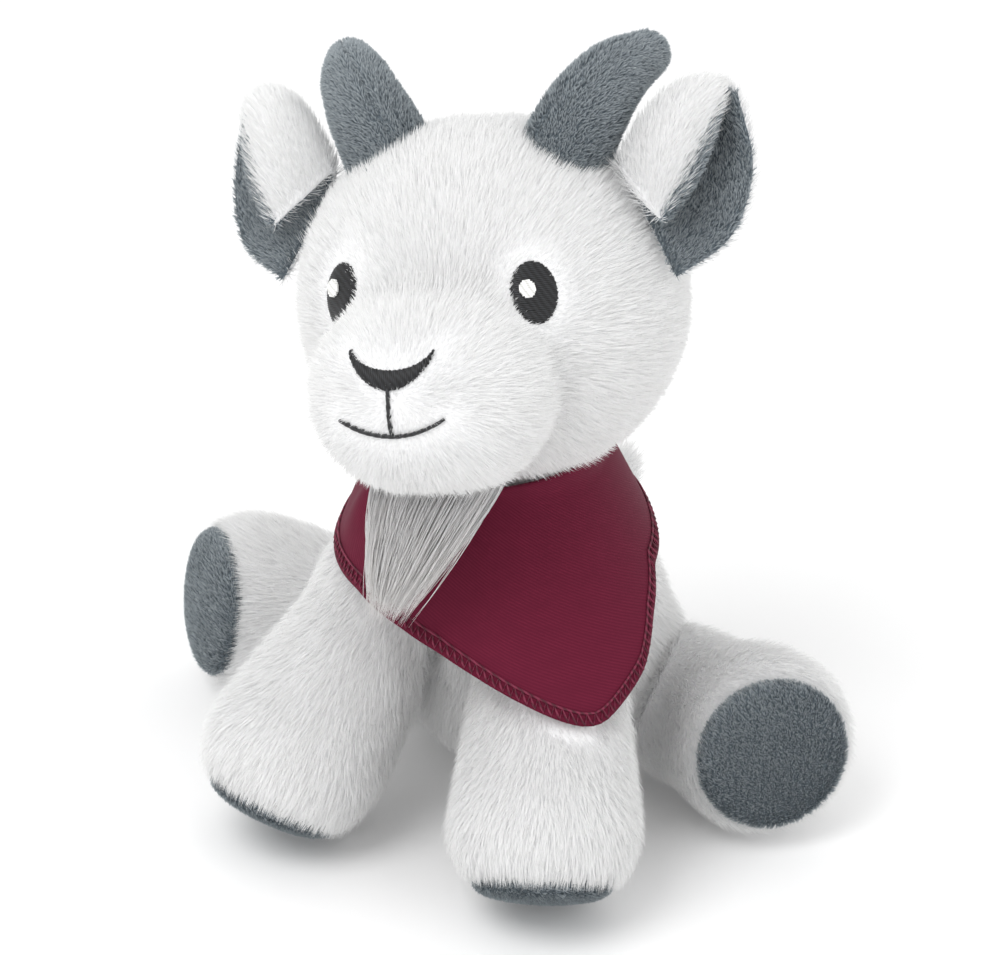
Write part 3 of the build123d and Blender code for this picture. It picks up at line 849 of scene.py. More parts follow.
def earSurface(across, along):
    # Points (mm, head frame, left ear): across 0 at the front rim, 0.45 at the fold, 1 at the back rim
    front = through(earSize["front"], along)
    fold = through(earSize["fold"], along)
    back = through(earSize["back"], along)
    opening = unit(np.array(earSize["opening"]))
    swell = np.sin(pi * np.clip(along, 0, 1) * 0.8 + 0.35)
    axis = unit(through(earSize["fold"], np.clip(along + 0.02, 0, 1))
                - through(earSize["fold"], np.clip(along - 0.02, 0, 1)))
    facing = unit(np.cross(axis, opening))
    facing = facing * np.sign(-(facing @ np.array([0.3, 1.0, -0.3])))[:, None]
    middleFront = (front + fold) / 2 + facing * (earSize["frontSwell"] * swell)[:, None]
    deep = earSize["backDepth"] * np.sin(pi * np.clip(along, 0, 1) * 0.85 + 0.15)
    middleBack = (fold + back) / 2 - opening * deep[:, None] - facing * (2.0 * swell)[:, None]
    rounded = fold - opening * (1.6 * swell)[:, None]
    result = np.empty((len(along), len(across), 3))
    for i in range(len(along)):
        result[i] = through([front[i], middleFront[i], rounded[i], middleBack[i], back[i]], across)
    return result


def earPieces(side):
    word = "left" if side > 0 else "right"
    across = np.linspace(0, 1, 41)
    along = np.linspace(0, 1, 25)
    surface = earSurface(across, along)
    # normals of the sheet, pointing to the white side
    du = np.gradient(surface, axis=1)
    dv = np.gradient(surface, axis=0)
    out = unit(np.cross(dv, du))
    centre = surface.mean(axis=(0, 1))
    if np.sum((surface[:, 18:22] - centre) * out[:, 18:22]) < 0:
        out = -out
    rim = np.minimum(1, np.minimum(across, 1 - across) / 0.06)[None, :, None]
    tip = np.minimum(1, (1.0 - along) / 0.10 + 0.25)[:, None, None]
    thin = np.sqrt(rim * 0.8 + 0.2) * tip

    def shell(name, low, high, material):
        lower = surface + out * low * thin
        upper = surface + out * high * thin
        points = np.concatenate([lower.reshape(-1, 3), upper.reshape(-1, 3)])
        count = surface.shape[0] * surface.shape[1]
        wide = len(across)
        quads = []
        for i in range(len(along) - 1):
            for j in range(wide - 1):
                a = i * wide + j
                quads.append((a, a + 1, a + wide + 1, a + wide))
                quads.append(tuple(count + v for v in (a, a + wide, a + wide + 1, a + 1)))
        edge = [j for j in range(wide)] + [i * wide + wide - 1 for i in range(1, len(along))] \
            + [(len(along) - 1) * wide + j for j in range(wide - 2, -1, -1)] \
            + [i * wide for i in range(len(along) - 2, 0, -1)]
        for k, a in enumerate(edge):
            b = edge[(k + 1) % len(edge)]
            quads.append((b, a, count + a, count + b))
        mesh = meshFrom(name, fromHead(mirroredX(points, side)), quads)
        ob = newObject(name, mesh, material)
        faceOut(mesh)
        upperSide = 1.0 if high > 0 else 0.0
        setAttribute(mesh, "pileSide", np.repeat([1 - upperSide, upperSide], count))
        lengthwise = np.gradient(surface, axis=0).reshape(-1, 3)
        comb = unit(mirroredX(lengthwise, side) @ headTurn.T)
        setAttribute(mesh, "comb", np.concatenate([comb, comb]))
        return ob

    skin = shell("ear_skin_" + word, 0.05, earSize["skin"], whiteBacking)
    lining = shell("ear_lining_" + word, -earSize["lining"], -0.05, greyBacking)
    # The lining rolls over at the front rim.
    rimShares = np.linspace(0.02, 0.98, 21)
    rim = earSurface(np.array([0.0, 0.04]), rimShares)[:, 0]
    radius = earSize["roll"] * np.sin(pi * np.clip(rimShares * 0.9 + 0.08, 0, 1))**0.6
    rimLine = fromHead(mirroredX(rim, side))
    roll = threadPiece("ear_roll_" + word, [rimLine], [radius * mm], greyBacking, sides=12)
    lengthwise = np.gradient(rim, axis=0)
    co = places(roll.data)
    near = np.argmin(np.linalg.norm(co[:, None] - rimLine[None], axis=2), axis=1)
    setAttribute(roll.data, "comb", unit(mirroredX(lengthwise[near], side) @ headTurn.T))
    setAttribute(roll.data, "pileSide", np.ones(len(co)))
    return skin, lining, roll


ears = {side: earPieces(side) for side in (1, -1)}
print("ears made")


hornSize = {
    "path": [(16.5, -1.8, 25.0), (21.0, -0.4, 34.3), (24.6, 1.8, 40.4), (28.8, 7.0, 45.6), (33.0, 15.2, 47.9)],
    "radii": [10.6, 9.7, 9.0, 7.6, 5.4], "seamDepth": 0.8, "seams": (118, 298), "pileRoom": 0.9,
}


def hornPiece(side):
    word = "left" if side > 0 else "right"
    ringCount, sides = 46, 72
    shares = np.linspace(0, 1, ringCount)
    line = through(hornSize["path"], shares)
    radii = np.interp(shares, np.linspace(0, 1, len(hornSize["radii"])), hornSize["radii"])
    radii = radii - hornSize["pileRoom"]
    tangent = unit(np.gradient(line, axis=0))
    sideways = unit(np.cross(tangent, np.array([0, -1.0, 0.3])))
    front = unit(np.cross(sideways, tangent))
    # a round end past the last ring
    ends = np.linspace(0, pi / 2, 9)[1:]
    last = radii[-1]
    line = np.vstack([line, line[-1] + tangent[-1] * (last * np.sin(ends))[:, None]])
    radii = np.concatenate([radii, np.maximum(last * np.cos(ends), 0.02)])
    sideways = np.vstack([sideways, np.repeat(sideways[-1:], len(ends), 0)])
    front = np.vstack([front, np.repeat(front[-1:], len(ends), 0)])
    angles = np.linspace(0, 360, sides, endpoint=False)
    groove = np.zeros(sides)
    for seam in hornSize["seams"]:
        apart = (angles - seam + 180) % 360 - 180
        groove += np.exp(-(apart / 4.5)**2) - 0.35 * np.exp(-(apart / 14)**2)
    points, comb = [], []
    for i in range(len(line)):
        r = radii[i] - groove * hornSize["seamDepth"] * min(1, radii[i] / 4)
        ring = line[i] + (np.cos(np.radians(angles)) * r)[:, None] * sideways[i] \
            + (np.sin(np.radians(angles)) * r)[:, None] * front[i]
        points.append(ring)
        comb.append(np.repeat(unit(np.gradient(line, axis=0)[i])[None], sides, 0))
    points = np.concatenate(points)
    quads = []
    for i in range(len(line) - 1):
        for j in range(sides):
            a, b = i * sides + j, i * sides + (j + 1) % sides
            quads.append((a, b, b + sides, a + sides))
    quads.append(tuple(reversed(range(sides))))
    quads.append(tuple((len(line) - 1) * sides + j for j in range(sides)))
    mesh = meshFrom("horn_" + word, fromHead(mirroredX(points, side)), quads)
    ob = newObject("horn_" + word, mesh, greyBacking)
    faceOut(mesh)
    setAttribute(mesh, "comb", unit(mirroredX(np.concatenate(comb), side) @ headTurn.T - [0, 0, 0.4]))
    setAttribute(mesh, "pileSide", 1 - 0.75 * np.tile(np.clip(groove, 0, 1), len(line)))
    return ob


horns = {side: hornPiece(side) for side in (1, -1)}
print("horns made")


def solePiece(body, foot, aim, across):
    # A round pad on the flat end of the leg, crowned in the middle and turned in at its seam.
    aim = unit(aim)
    side = unit(np.cross(aim, across))
    other = np.cross(side, aim)
    setback = soleSize["setback"][body.split("_")[0]] * mm
    radius = sqrt(footRadius**2 - setback**2) - soleSize["inset"] * mm
    foot = foot - aim * soleSize["sink"] * mm
    points, quads = [], []
    shares = np.linspace(0, 1, soleSize["rings"])
    for s in shares:
        height = soleSize["dome"] * mm * (1 - s**2) + soleSize["edge"] * mm * sqrt(max(1 - s**8, 0)) - 0.5 * mm
        for j in range(soleSize["sides"]):
            a = 2 * pi * j / soleSize["sides"]
            points.append(foot + aim * (setback + height)
                          + (side * cos(a) + other * sin(a)) * max(s, 0.01) * radius)
    for s in (0.97, 0.5, 0.01):
        for j in range(soleSize["sides"]):
            a = 2 * pi * j / soleSize["sides"]
            points.append(foot + aim * (setback - 1.6 * mm) + (side * cos(a) + other * sin(a)) * s * radius)
    rings = len(points) // soleSize["sides"]
    for i in range(rings - 1):
        for j in range(soleSize["sides"]):
            a, b = i * soleSize["sides"] + j, i * soleSize["sides"] + (j + 1) % soleSize["sides"]
            quads.append((a, b, b + soleSize["sides"], a + soleSize["sides"]))
    quads.append(tuple(range(soleSize["sides"])))
    quads.append(tuple((rings - 1) * soleSize["sides"] + j for j in range(soleSize["sides"])))
    points = np.array(points)
    points[:, 2] = np.maximum(points[:, 2], 0.1 * mm)
    mesh = meshFrom(body + "_sole_pad", points, quads)
    faceOut(mesh)
    ob = newObject(body + "_sole_pad", mesh, greyBacking)
    nap = unit(side * 0.5 + other * 0.87)
    setAttribute(mesh, "comb", np.repeat(nap[None], len(points), 0))
    return ob


soles = {body: solePiece(body, feet[body], soleAims[body],
                         np.array([1.0, 0, 0] if "front" in body else [0, 0, 1.0])) for body in feet}
print("soles made")


def bladeMesh():
    # One strand, 1 long and 1 wide at the root: two bent lengths of blade, then the tip
    points = [(-0.5, 0, 0), (0.5, 0, 0), (-0.42, 0.5, 0.13), (0.42, 0.5, 0.13), (0, 0.98, 0.1)]
    mesh = meshFrom("blade", points, [(0, 1, 3, 2), (2, 3, 4)])
    setAttribute(mesh, "along", np.array([0, 0, 0.5, 0.5, 1.0]))
    setAttribute(mesh, "across", np.array([0, 1.0, 0, 1.0, 0.5]))
    return mesh


blade = newObject("blade", bladeMesh(), smooth=False)


def pileTree():
    # Strands scattered over a skin, leaning along its "comb" in soft tufts
    tree = bpy.data.node_groups.new("pile", "GeometryNodeTree")
    for name, kind in (("Geometry", "Geometry"), ("Density", "Float"), ("Length", "Float"), ("Width", "Float"),
                       ("Lean", "Float"), ("Tuft", "Float"), ("Tuft Size", "Float"), ("Stray", "Float"),
                       ("Flatness", "Float"), ("Seed", "Int"), ("Strand", "Object"), ("Material", "Material")):
        tree.interface.new_socket(name, in_out="INPUT", socket_type="NodeSocket" + kind)
    tree.interface.new_socket("Geometry", in_out="OUTPUT", socket_type="NodeSocketGeometry")
    given = tree.nodes.new("NodeGroupInput")

    cover = addNode(tree, "GeometryNodeInputNamedAttribute", {"Name": "pileCover"}, data_type="FLOAT")
    density = addNode(tree, "ShaderNodeMath", {0: given.outputs["Density"], 1: cover.outputs[0]},
                      operation="MULTIPLY")
    scatter = addNode(tree, "GeometryNodeDistributePointsOnFaces", {
        "Mesh": given.outputs["Geometry"], "Density": density.outputs[0], "Seed": given.outputs["Seed"]})
    normal = scatter.outputs["Normal"]
    # Each random value has its own seed, a few past the piece's seed.
    seeds = {}
    for use, step in (("stray", 11), ("lean", 5), ("roll", 7), ("length", 3), ("tint", 2)):
        moved = addNode(tree, "ShaderNodeMath", {0: given.outputs["Seed"], 1: step}, operation="ADD")
        seeds[use] = moved.outputs[0]

    # Soft tufts: a slow noise sways and lifts neighbouring strands together.
    position = tree.nodes.new("GeometryNodeInputPosition")
    tuftSize = given.outputs["Tuft Size"]
    tuftBox = addNode(tree, "ShaderNodeCombineXYZ", {0: tuftSize, 1: tuftSize, 2: tuftSize})
    tuftPlace = addNode(tree, "ShaderNodeVectorMath", {0: position.outputs[0], 1: tuftBox.outputs[0]},
                        operation="DIVIDE")
    wave = addNode(tree, "ShaderNodeTexNoise", {"Vector": tuftPlace.outputs[0], "Scale": 1.0, "Detail": 1.5,
                                                "Roughness": 0.6})
    sway = addNode(tree, "ShaderNodeVectorMath", {0: wave.outputs["Color"], 1: (0.5, 0.5, 0.5)},
                   operation="SUBTRACT")
    swayBy = addNode(tree, "ShaderNodeMath", {0: given.outputs["Tuft"], 1: 3.0}, operation="MULTIPLY")
    swayed = addNode(tree, "ShaderNodeVectorMath", {0: sway.outputs[0], "Scale": swayBy.outputs[0]},
                     operation="SCALE")
    stray = addNode(tree, "FunctionNodeRandomValue", {0: (-1.0, -1.0, -1.0), 1: (1.0, 1.0, 1.0),
                                                      "Seed": seeds["stray"]}, data_type="FLOAT_VECTOR")
    strayed = addNode(tree, "ShaderNodeVectorMath", {0: stray.outputs[0], "Scale": given.outputs["Stray"]},
                      operation="SCALE")
    comb = addNode(tree, "GeometryNodeInputNamedAttribute", {"Name": "comb"}, data_type="FLOAT_VECTOR")
    combed = addNode(tree, "ShaderNodeVectorMath", {0: comb.outputs[0], 1: swayed.outputs[0]}, operation="ADD")
    direction = addNode(tree, "ShaderNodeVectorMath", {0: combed.outputs[0], 1: strayed.outputs[0]},
                        operation="ADD")

    # Stand on the skin, lean along the comb, then roll a little about the strand's own length.
    axes = addNode(tree, "FunctionNodeAxesToRotation", {"Primary Axis": normal,
                                                        "Secondary Axis": direction.outputs[0]},
                   primary_axis="Z", secondary_axis="Y")
    leanChance = addNode(tree, "FunctionNodeRandomValue", {2: -1.0, 3: 1.0, "Seed": seeds["lean"]})
    leanWobble = addNode(tree, "ShaderNodeMath", {0: leanChance.outputs[1], 1: 9.0}, operation="MULTIPLY")
    leanOwn = addNode(tree, "ShaderNodeMath", {0: given.outputs["Lean"], 1: leanWobble.outputs[0]},
                      operation="ADD")
    lift = addNode(tree, "ShaderNodeMath", {0: wave.outputs["Fac"], 1: 0.5}, operation="SUBTRACT")
    liftWave = addNode(tree, "ShaderNodeMath", {0: lift.outputs[0], 1: 30.0}, operation="MULTIPLY")
    leanDegrees = addNode(tree, "ShaderNodeMath", {0: leanOwn.outputs[0], 1: liftWave.outputs[0]},
                          operation="ADD")
    lean = addNode(tree, "ShaderNodeMath", {0: leanDegrees.outputs[0], 1: pi / 180}, operation="MULTIPLY")
    tilt = addNode(tree, "ShaderNodeCombineXYZ", {0: lean.outputs[0]})
    tiltTurn = addNode(tree, "FunctionNodeEulerToRotation", {0: tilt.outputs[0]})
    leaned = addNode(tree, "FunctionNodeRotateRotation", {0: axes.outputs[0], 1: tiltTurn.outputs[0]},
                     rotation_space="LOCAL")
    rollChance = addNode(tree, "FunctionNodeRandomValue", {2: -0.9, 3: 0.9, "Seed": seeds["roll"]})
    roll = addNode(tree, "ShaderNodeCombineXYZ", {1: rollChance.outputs[1]})
    rollTurn = addNode(tree, "FunctionNodeEulerToRotation", {0: roll.outputs[0]})
    rotation = addNode(tree, "FunctionNodeRotateRotation", {0: leaned.outputs[0], 1: rollTurn.outputs[0]},
                       rotation_space="LOCAL")

    longChance = addNode(tree, "FunctionNodeRandomValue", {2: 0.65, 3: 1.08, "Seed": seeds["length"]})
    grown = addNode(tree, "ShaderNodeMath", {0: given.outputs["Length"], 1: longChance.outputs[1]},
                    operation="MULTIPLY")
    pileLength = addNode(tree, "GeometryNodeInputNamedAttribute", {"Name": "pileLength"}, data_type="FLOAT")
    length = addNode(tree, "ShaderNodeMath", {0: grown.outputs[0], 1: pileLength.outputs[0]},
                     operation="MULTIPLY").outputs[0]
    size = addNode(tree, "ShaderNodeCombineXYZ", {0: given.outputs["Width"], 1: length, 2: length})
    strand = addNode(tree, "GeometryNodeObjectInfo", {"Object": given.outputs["Strand"]})
    keptNormal = addNode(tree, "GeometryNodeStoreNamedAttribute", {
        "Geometry": scatter.outputs["Points"], "Name": "skinNormal", "Value": normal},
        data_type="FLOAT_VECTOR", domain="POINT")
    placed = addNode(tree, "GeometryNodeInstanceOnPoints", {
        "Points": keptNormal.outputs[0], "Instance": strand.outputs["Geometry"],
        "Rotation": rotation.outputs[0], "Scale": size.outputs[0]})
    tintChance = addNode(tree, "FunctionNodeRandomValue", {2: 0.0, 3: 1.0, "Seed": seeds["tint"]})
    tinted = addNode(tree, "GeometryNodeStoreNamedAttribute", {
        "Geometry": placed.outputs[0], "Name": "tint", "Value": tintChance.outputs[1]},
        data_type="FLOAT", domain="INSTANCE")
    real = addNode(tree, "GeometryNodeRealizeInstances", {0: tinted.outputs[0]})
    mapped = mapStrands(tree, real.outputs[0])

    # Shading follows the skin under the strand, bent a little towards the strand's own face.
    skinNormal = addNode(tree, "GeometryNodeInputNamedAttribute", {"Name": "skinNormal"},
                         data_type="FLOAT_VECTOR").outputs[0]
    own = tree.nodes.new("GeometryNodeInputNormal").outputs[0]
    sameWay = addNode(tree, "ShaderNodeVectorMath", {0: own, 1: skinNormal}, operation="DOT_PRODUCT")
    sign = addNode(tree, "ShaderNodeMath", {0: sameWay.outputs["Value"]}, operation="SIGN")
    flipped = addNode(tree, "ShaderNodeVectorMath", {0: own, "Scale": sign.outputs[0]}, operation="SCALE")
    share = addNode(tree, "ShaderNodeVectorMath", {0: flipped.outputs[0], "Scale": given.outputs["Flatness"]},
                    operation="SCALE")
    mixed = addNode(tree, "ShaderNodeVectorMath", {0: skinNormal, 1: share.outputs[0]}, operation="ADD")
    lit = addNode(tree, "ShaderNodeVectorMath", {0: mixed.outputs[0]}, operation="NORMALIZE")
    shaded = addNode(tree, "GeometryNodeSetMeshNormal", {"Mesh": mapped.outputs[0]},
                     mode="FREE", domain="POINT")
    tree.links.new(lit.outputs[0], shaded.inputs["Custom Normal"])
    last = shaded
    for name in ("comb", "pileCover", "pileLength", "pileSide", "along", "across", "tint", "skinNormal"):
        last = addNode(tree, "GeometryNodeRemoveAttribute", {"Geometry": last.outputs[0], "Name": name})
    painted = addNode(tree, "GeometryNodeSetMaterial", {"Geometry": last.outputs[0],
                                                        "Material": given.outputs["Material"]})
    addNode(tree, "NodeGroupOutput", {0: painted.outputs[0]})
    return tree


pile = pileTree()
pileCount = {"total": 0}


def growPile(name, skin, cover, lengths, settings, material, seed):
    # cover and lengths: one factor for each point of the skin
    mesh = skin.data.copy()
    ob = bpy.data.objects.new(name, mesh)
    bpy.context.scene.collection.objects.link(ob)
    setAttribute(mesh, "pileCover", cover)
    setAttribute(mesh, "pileLength", lengths)
    modifier = ob.modifiers.new("pile", "NODES")
    modifier.node_group = pile
    for key, value in settings.items():
        setInput(modifier, key, value)
    setInput(modifier, "Seed", seed)
    setInput(modifier, "Strand", blade)
    setInput(modifier, "Material", material)
    baked(ob)
    pileCount["total"] += len(ob.data.polygons) // 2
    print("  pile", name, len(ob.data.polygons) // 2)
    return ob


whiteFur = {"Density": 6.2e6, "Length": 5.4 * mm, "Width": 0.18 * mm, "Lean": 26.0, "Tuft": 0.30,
            "Tuft Size": 6.0 * mm, "Stray": 0.16, "Flatness": 0.1}
faceFur = {**whiteFur, "Length": 4.8 * mm, "Tuft": 0.25}
earFur = {**whiteFur, "Length": 3.8 * mm, "Lean": 34.0, "Density": 7.5e6, "Tuft": 0.2}
minky = {"Density": 12e6, "Length": 1.5 * mm, "Width": 0.22 * mm, "Lean": 38.0, "Tuft": 0.9,
         "Tuft Size": 1.5 * mm, "Stray": 0.35, "Flatness": 0.9}


def isInside(tree, point):
    # An odd number of walls on the way out
    start, way, count = Vector(point), Vector((0.31, 0.17, 0.93)), 0
    while count < 12:
        hit = tree.ray_cast(start, way)[0]
        if hit is None:
            break
        start = hit + way * 1e-5
        count += 1
    return count % 2 == 1


def buried(co, body):
    # How far each point lies inside another body's skin, in metres; negative outside.
    worst = np.full(len(co), -1.0)
    for other, tree in skinTrees.items():
        if other == body:
            continue
        low, high = boxes[other]
        near = np.all((co > low - 4 * mm) & (co < high + 4 * mm), axis=1)
        for i in np.nonzero(near)[0]:
            distance = tree.find_nearest(Vector(co[i]))[3]
            worst[i] = max(worst[i], distance if isInside(tree, co[i]) else -distance)
    return worst


boxes = {body: (places(ob.data).min(0), places(ob.data).max(0)) for body, ob in skins.items()}


def underCloth(co, out):
    # 1 where the kerchief lies over the skin
    covered = np.zeros(len(co))
    low, high = places(kerchief.data).min(0) - 4 * mm, places(kerchief.data).max(0) + 4 * mm
    for i in np.nonzero(np.all((co > low) & (co < high), axis=1))[0]:
        hit, _, _, distance = clothTree.ray_cast(Vector(co[i]), Vector(out[i]), 11 * mm)
        if hit is not None:
            covered[i] = 1.0
            continue
        hit, _, _, distance = clothTree.find_nearest(Vector(co[i]), 3.2 * mm)
        if hit is not None:
            covered[i] = 0.8
    return covered


def flat(field, out):
    return unit(field - out * np.sum(field * out, axis=1)[:, None])


def nearSole(co, body):
    # 1 within the sole's pad, so that no white pile grows there
    sole = soles.get(body)
    if sole is None:
        return np.zeros(len(co))
    tree = treeOf(sole)
    result = np.zeros(len(co))
    low, high = places(sole.data).min(0) - 8 * mm, places(sole.data).max(0) + 8 * mm
    for i in np.nonzero(np.all((co > low) & (co < high), axis=1))[0]:
        distance = tree.find_nearest(Vector(co[i]))[3]
        result[i] = 1 - smoothStep(distance, 0.6 * mm, 4.5 * mm)
    return result


bpy.context.view_layer.update()
downwards = np.array([0, 0, -1.0])


def dress(body, skin, field, settings, halves=("",), seed=1, lengthShape=None):
    # White pile over one padded skin, left out where it is buried, stitched or under the kerchief
    co, out = places(skin.data), normals(skin.data)
    setAttribute(skin.data, "comb", flat(field(co, out), out))
    hidden = buried(co, body)
    cover = 1 - smoothStep(hidden, -0.5 * mm, 0.8 * mm)
    lengths = 1 - 0.45 * smoothStep(hidden, -3 * mm, -0.3 * mm)
    cloth = underCloth(co, out)
    cover *= 1 - 0.75 * cloth
    lengths *= 1 - 0.72 * cloth
    toSole = nearSole(co, body)
    cover *= toSole < 0.999
    lengths *= 1 - 0.45 * toSole
    floorward = smoothStep(-out[:, 2], 0.75, 0.95) * smoothStep(6 * mm - co[:, 2], 0, 4 * mm)
    cover *= 1 - 0.9 * floorward
    lengths *= 1 - 0.5 * floorward
    if body == "head":
        apart = featureDistance(co)
        cover *= smoothStep(apart, -0.6, 0.5)
        lengths *= 0.32 + 0.68 * smoothStep(apart, 0.0, 7.0)
    if lengthShape is not None:
        lengths *= lengthShape(co, out)
    made = []
    for number, half in enumerate(halves):
        share = cover
        if half == "left":
            share = cover * (co[:, 0] >= neckAxis[0])
        if half == "right":
            share = cover * (co[:, 0] < neckAxis[0])
        name = body + "_pile" + ("_" + half if half else "")
        made.append(growPile(name, skin, share, lengths, settings, whitePile, seed + number))
    for ob in made:
        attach(ob, body)
    return made


noseFront = fromHead([(0, -62.0, -5.0)])[0]


def headField(co, out):
    # Away from the nose over the face, and down at the back of the head
    fromNose = unit(co - noseFront)
    backward = smoothStep(co[:, 1] - headCentre[1], 0, 30 * mm)[:, None]
    return fromNose * (1 - backward) + (downwards + 0.3 * out) * backward


def torsoField(co, out):
    side = (co - neckAxis - [0, 5 * mm, 0]) * [1, 1, 0]
    return downwards + 0.25 * unit(side)


def legField(root, foot):
    axis = unit(foot - root)

    def field(co, out):
        return axis + 0.25 * downwards
    return field


dress("head", headSkin, headField, faceFur, ("left", "right"), seed=21)
dress("torso", torsoSkin, torsoField, whiteFur, ("left", "right"), seed=31)
for number, (body, skin) in enumerate(limbSkins.items()):
    joint = joints[body + ("_lift" if "front" in body else "_splay")]
    root = np.array(joint["pos_m"])
    dress(body, skin, legField(root, feet[body]), whiteFur, seed=41 + number)
dress("tail", tailSkin, lambda co, out: np.repeat(unit(np.array([[0, 1.0, 0.45]])), len(co), 0),
      {**whiteFur, "Length": 7 * mm}, seed=51)

def outOfHead(ob):
    # 1 where the piece stands clear of the head's skin, 0 where it is sewn in
    above = []
    for p in places(ob.data):
        hit, normal, _, _ = skinTrees["head"].find_nearest(Vector(p))
        above.append((Vector(p) - hit).dot(normal))
    return smoothStep(np.array(above), -0.5 * mm, 0.5 * mm)


for side, (skin, lining, roll) in ears.items():
    word = "left" if side > 0 else "right"
    body = "ear_" + word
    for ob, settings, material, slot, seed in ((skin, earFur, whitePile, "white_plush", 61),
                                               (lining, minky, greyPile, "grey_plush", 63),
                                               (roll, minky, greyPile, "grey_plush", 65)):
        cover = attributeOf(ob.data, "pileSide") * outOfHead(ob)
        coat = growPile(ob.name + "_pile", ob, cover, np.ones(len(cover)), settings, material, seed)
        for piece in (coat, ob):
            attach(piece, body)
    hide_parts(body + "_back")
    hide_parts(body + "_lining")

for side, ob in horns.items():
    word = "left" if side > 0 else "right"
    offSeam = attributeOf(ob.data, "pileSide")
    coat = growPile("horn_pile_" + word, ob, offSeam * outOfHead(ob), offSeam, minky, greyPile, 71)
    for piece in (coat, ob):
        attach(piece, "head")
    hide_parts("horn_" + word + "_cover", "horn_" + word + "_stuffing")

for body, ob in soles.items():
    everywhere = np.ones(len(ob.data.vertices))
    coat = growPile(ob.name + "_pile", ob, everywhere, everywhere, minky, greyPile, 81)
    for piece in (coat, ob):
        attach(piece, body)
    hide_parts(body + "_sole")
print("pile strands", pileCount["total"])


beardSize = {"strands": 2800, "radius": 0.115 * mm, "points": 9,
             "from": (1.6, -38.0, -26.5), "spreadWide": 15.0, "spreadDeep": 5.0, "spreadHigh": 3.5,
             "tip": (-15.5, -39.0, -57.5), "tipSpread": 3.8}


def beardPiece():
    rng = np.random.default_rng(7)
    lines, radii = [], []
    for k in range(beardSize["strands"]):
        a = rng.uniform(0, 2 * pi)
        r = sqrt(rng.uniform(0, 1))
        wide, deep = r * cos(a), r * sin(a)
        start = np.array(beardSize["from"]) + [wide * beardSize["spreadWide"], deep * beardSize["spreadDeep"],
                                               rng.uniform(-1, 1) * 1.0 + abs(wide) * beardSize["spreadHigh"]]
        strength = rng.uniform(0.4, 1.0) ** 0.7
        spread = beardSize["tipSpread"]
        end = np.array(beardSize["tip"]) + [wide * spread + rng.normal(0, 0.8),
                                            deep * spread * 0.7 + rng.normal(0, 0.6), rng.normal(0, 1.5)]
        end = start + (end - start) * strength
        middle = (start + end) / 2 + [wide * 3.0 + rng.normal(0, 0.6), -2.2 + deep * 2.0 + rng.normal(0, 0.5),
                                      rng.normal(0, 0.4)]
        t = np.linspace(0, 1, beardSize["points"])[:, None]
        line = start * (1 - t)**2 + 2 * middle * t * (1 - t) + end * t**2
        lines.append(fromHead(line))
        radii.append(beardSize["radius"] * (1 - 0.85 * t[:, 0]**3))
    return threadPiece("beard_strands", lines, radii, beardPile, sides=3)


beard = beardPiece()
print("beard made")


knotSize = {"turn": 231.5, "height": 78.5, "radius": 4.6, "tail": 17.0, "tailWidth": 9.0, "splay": 32.0}


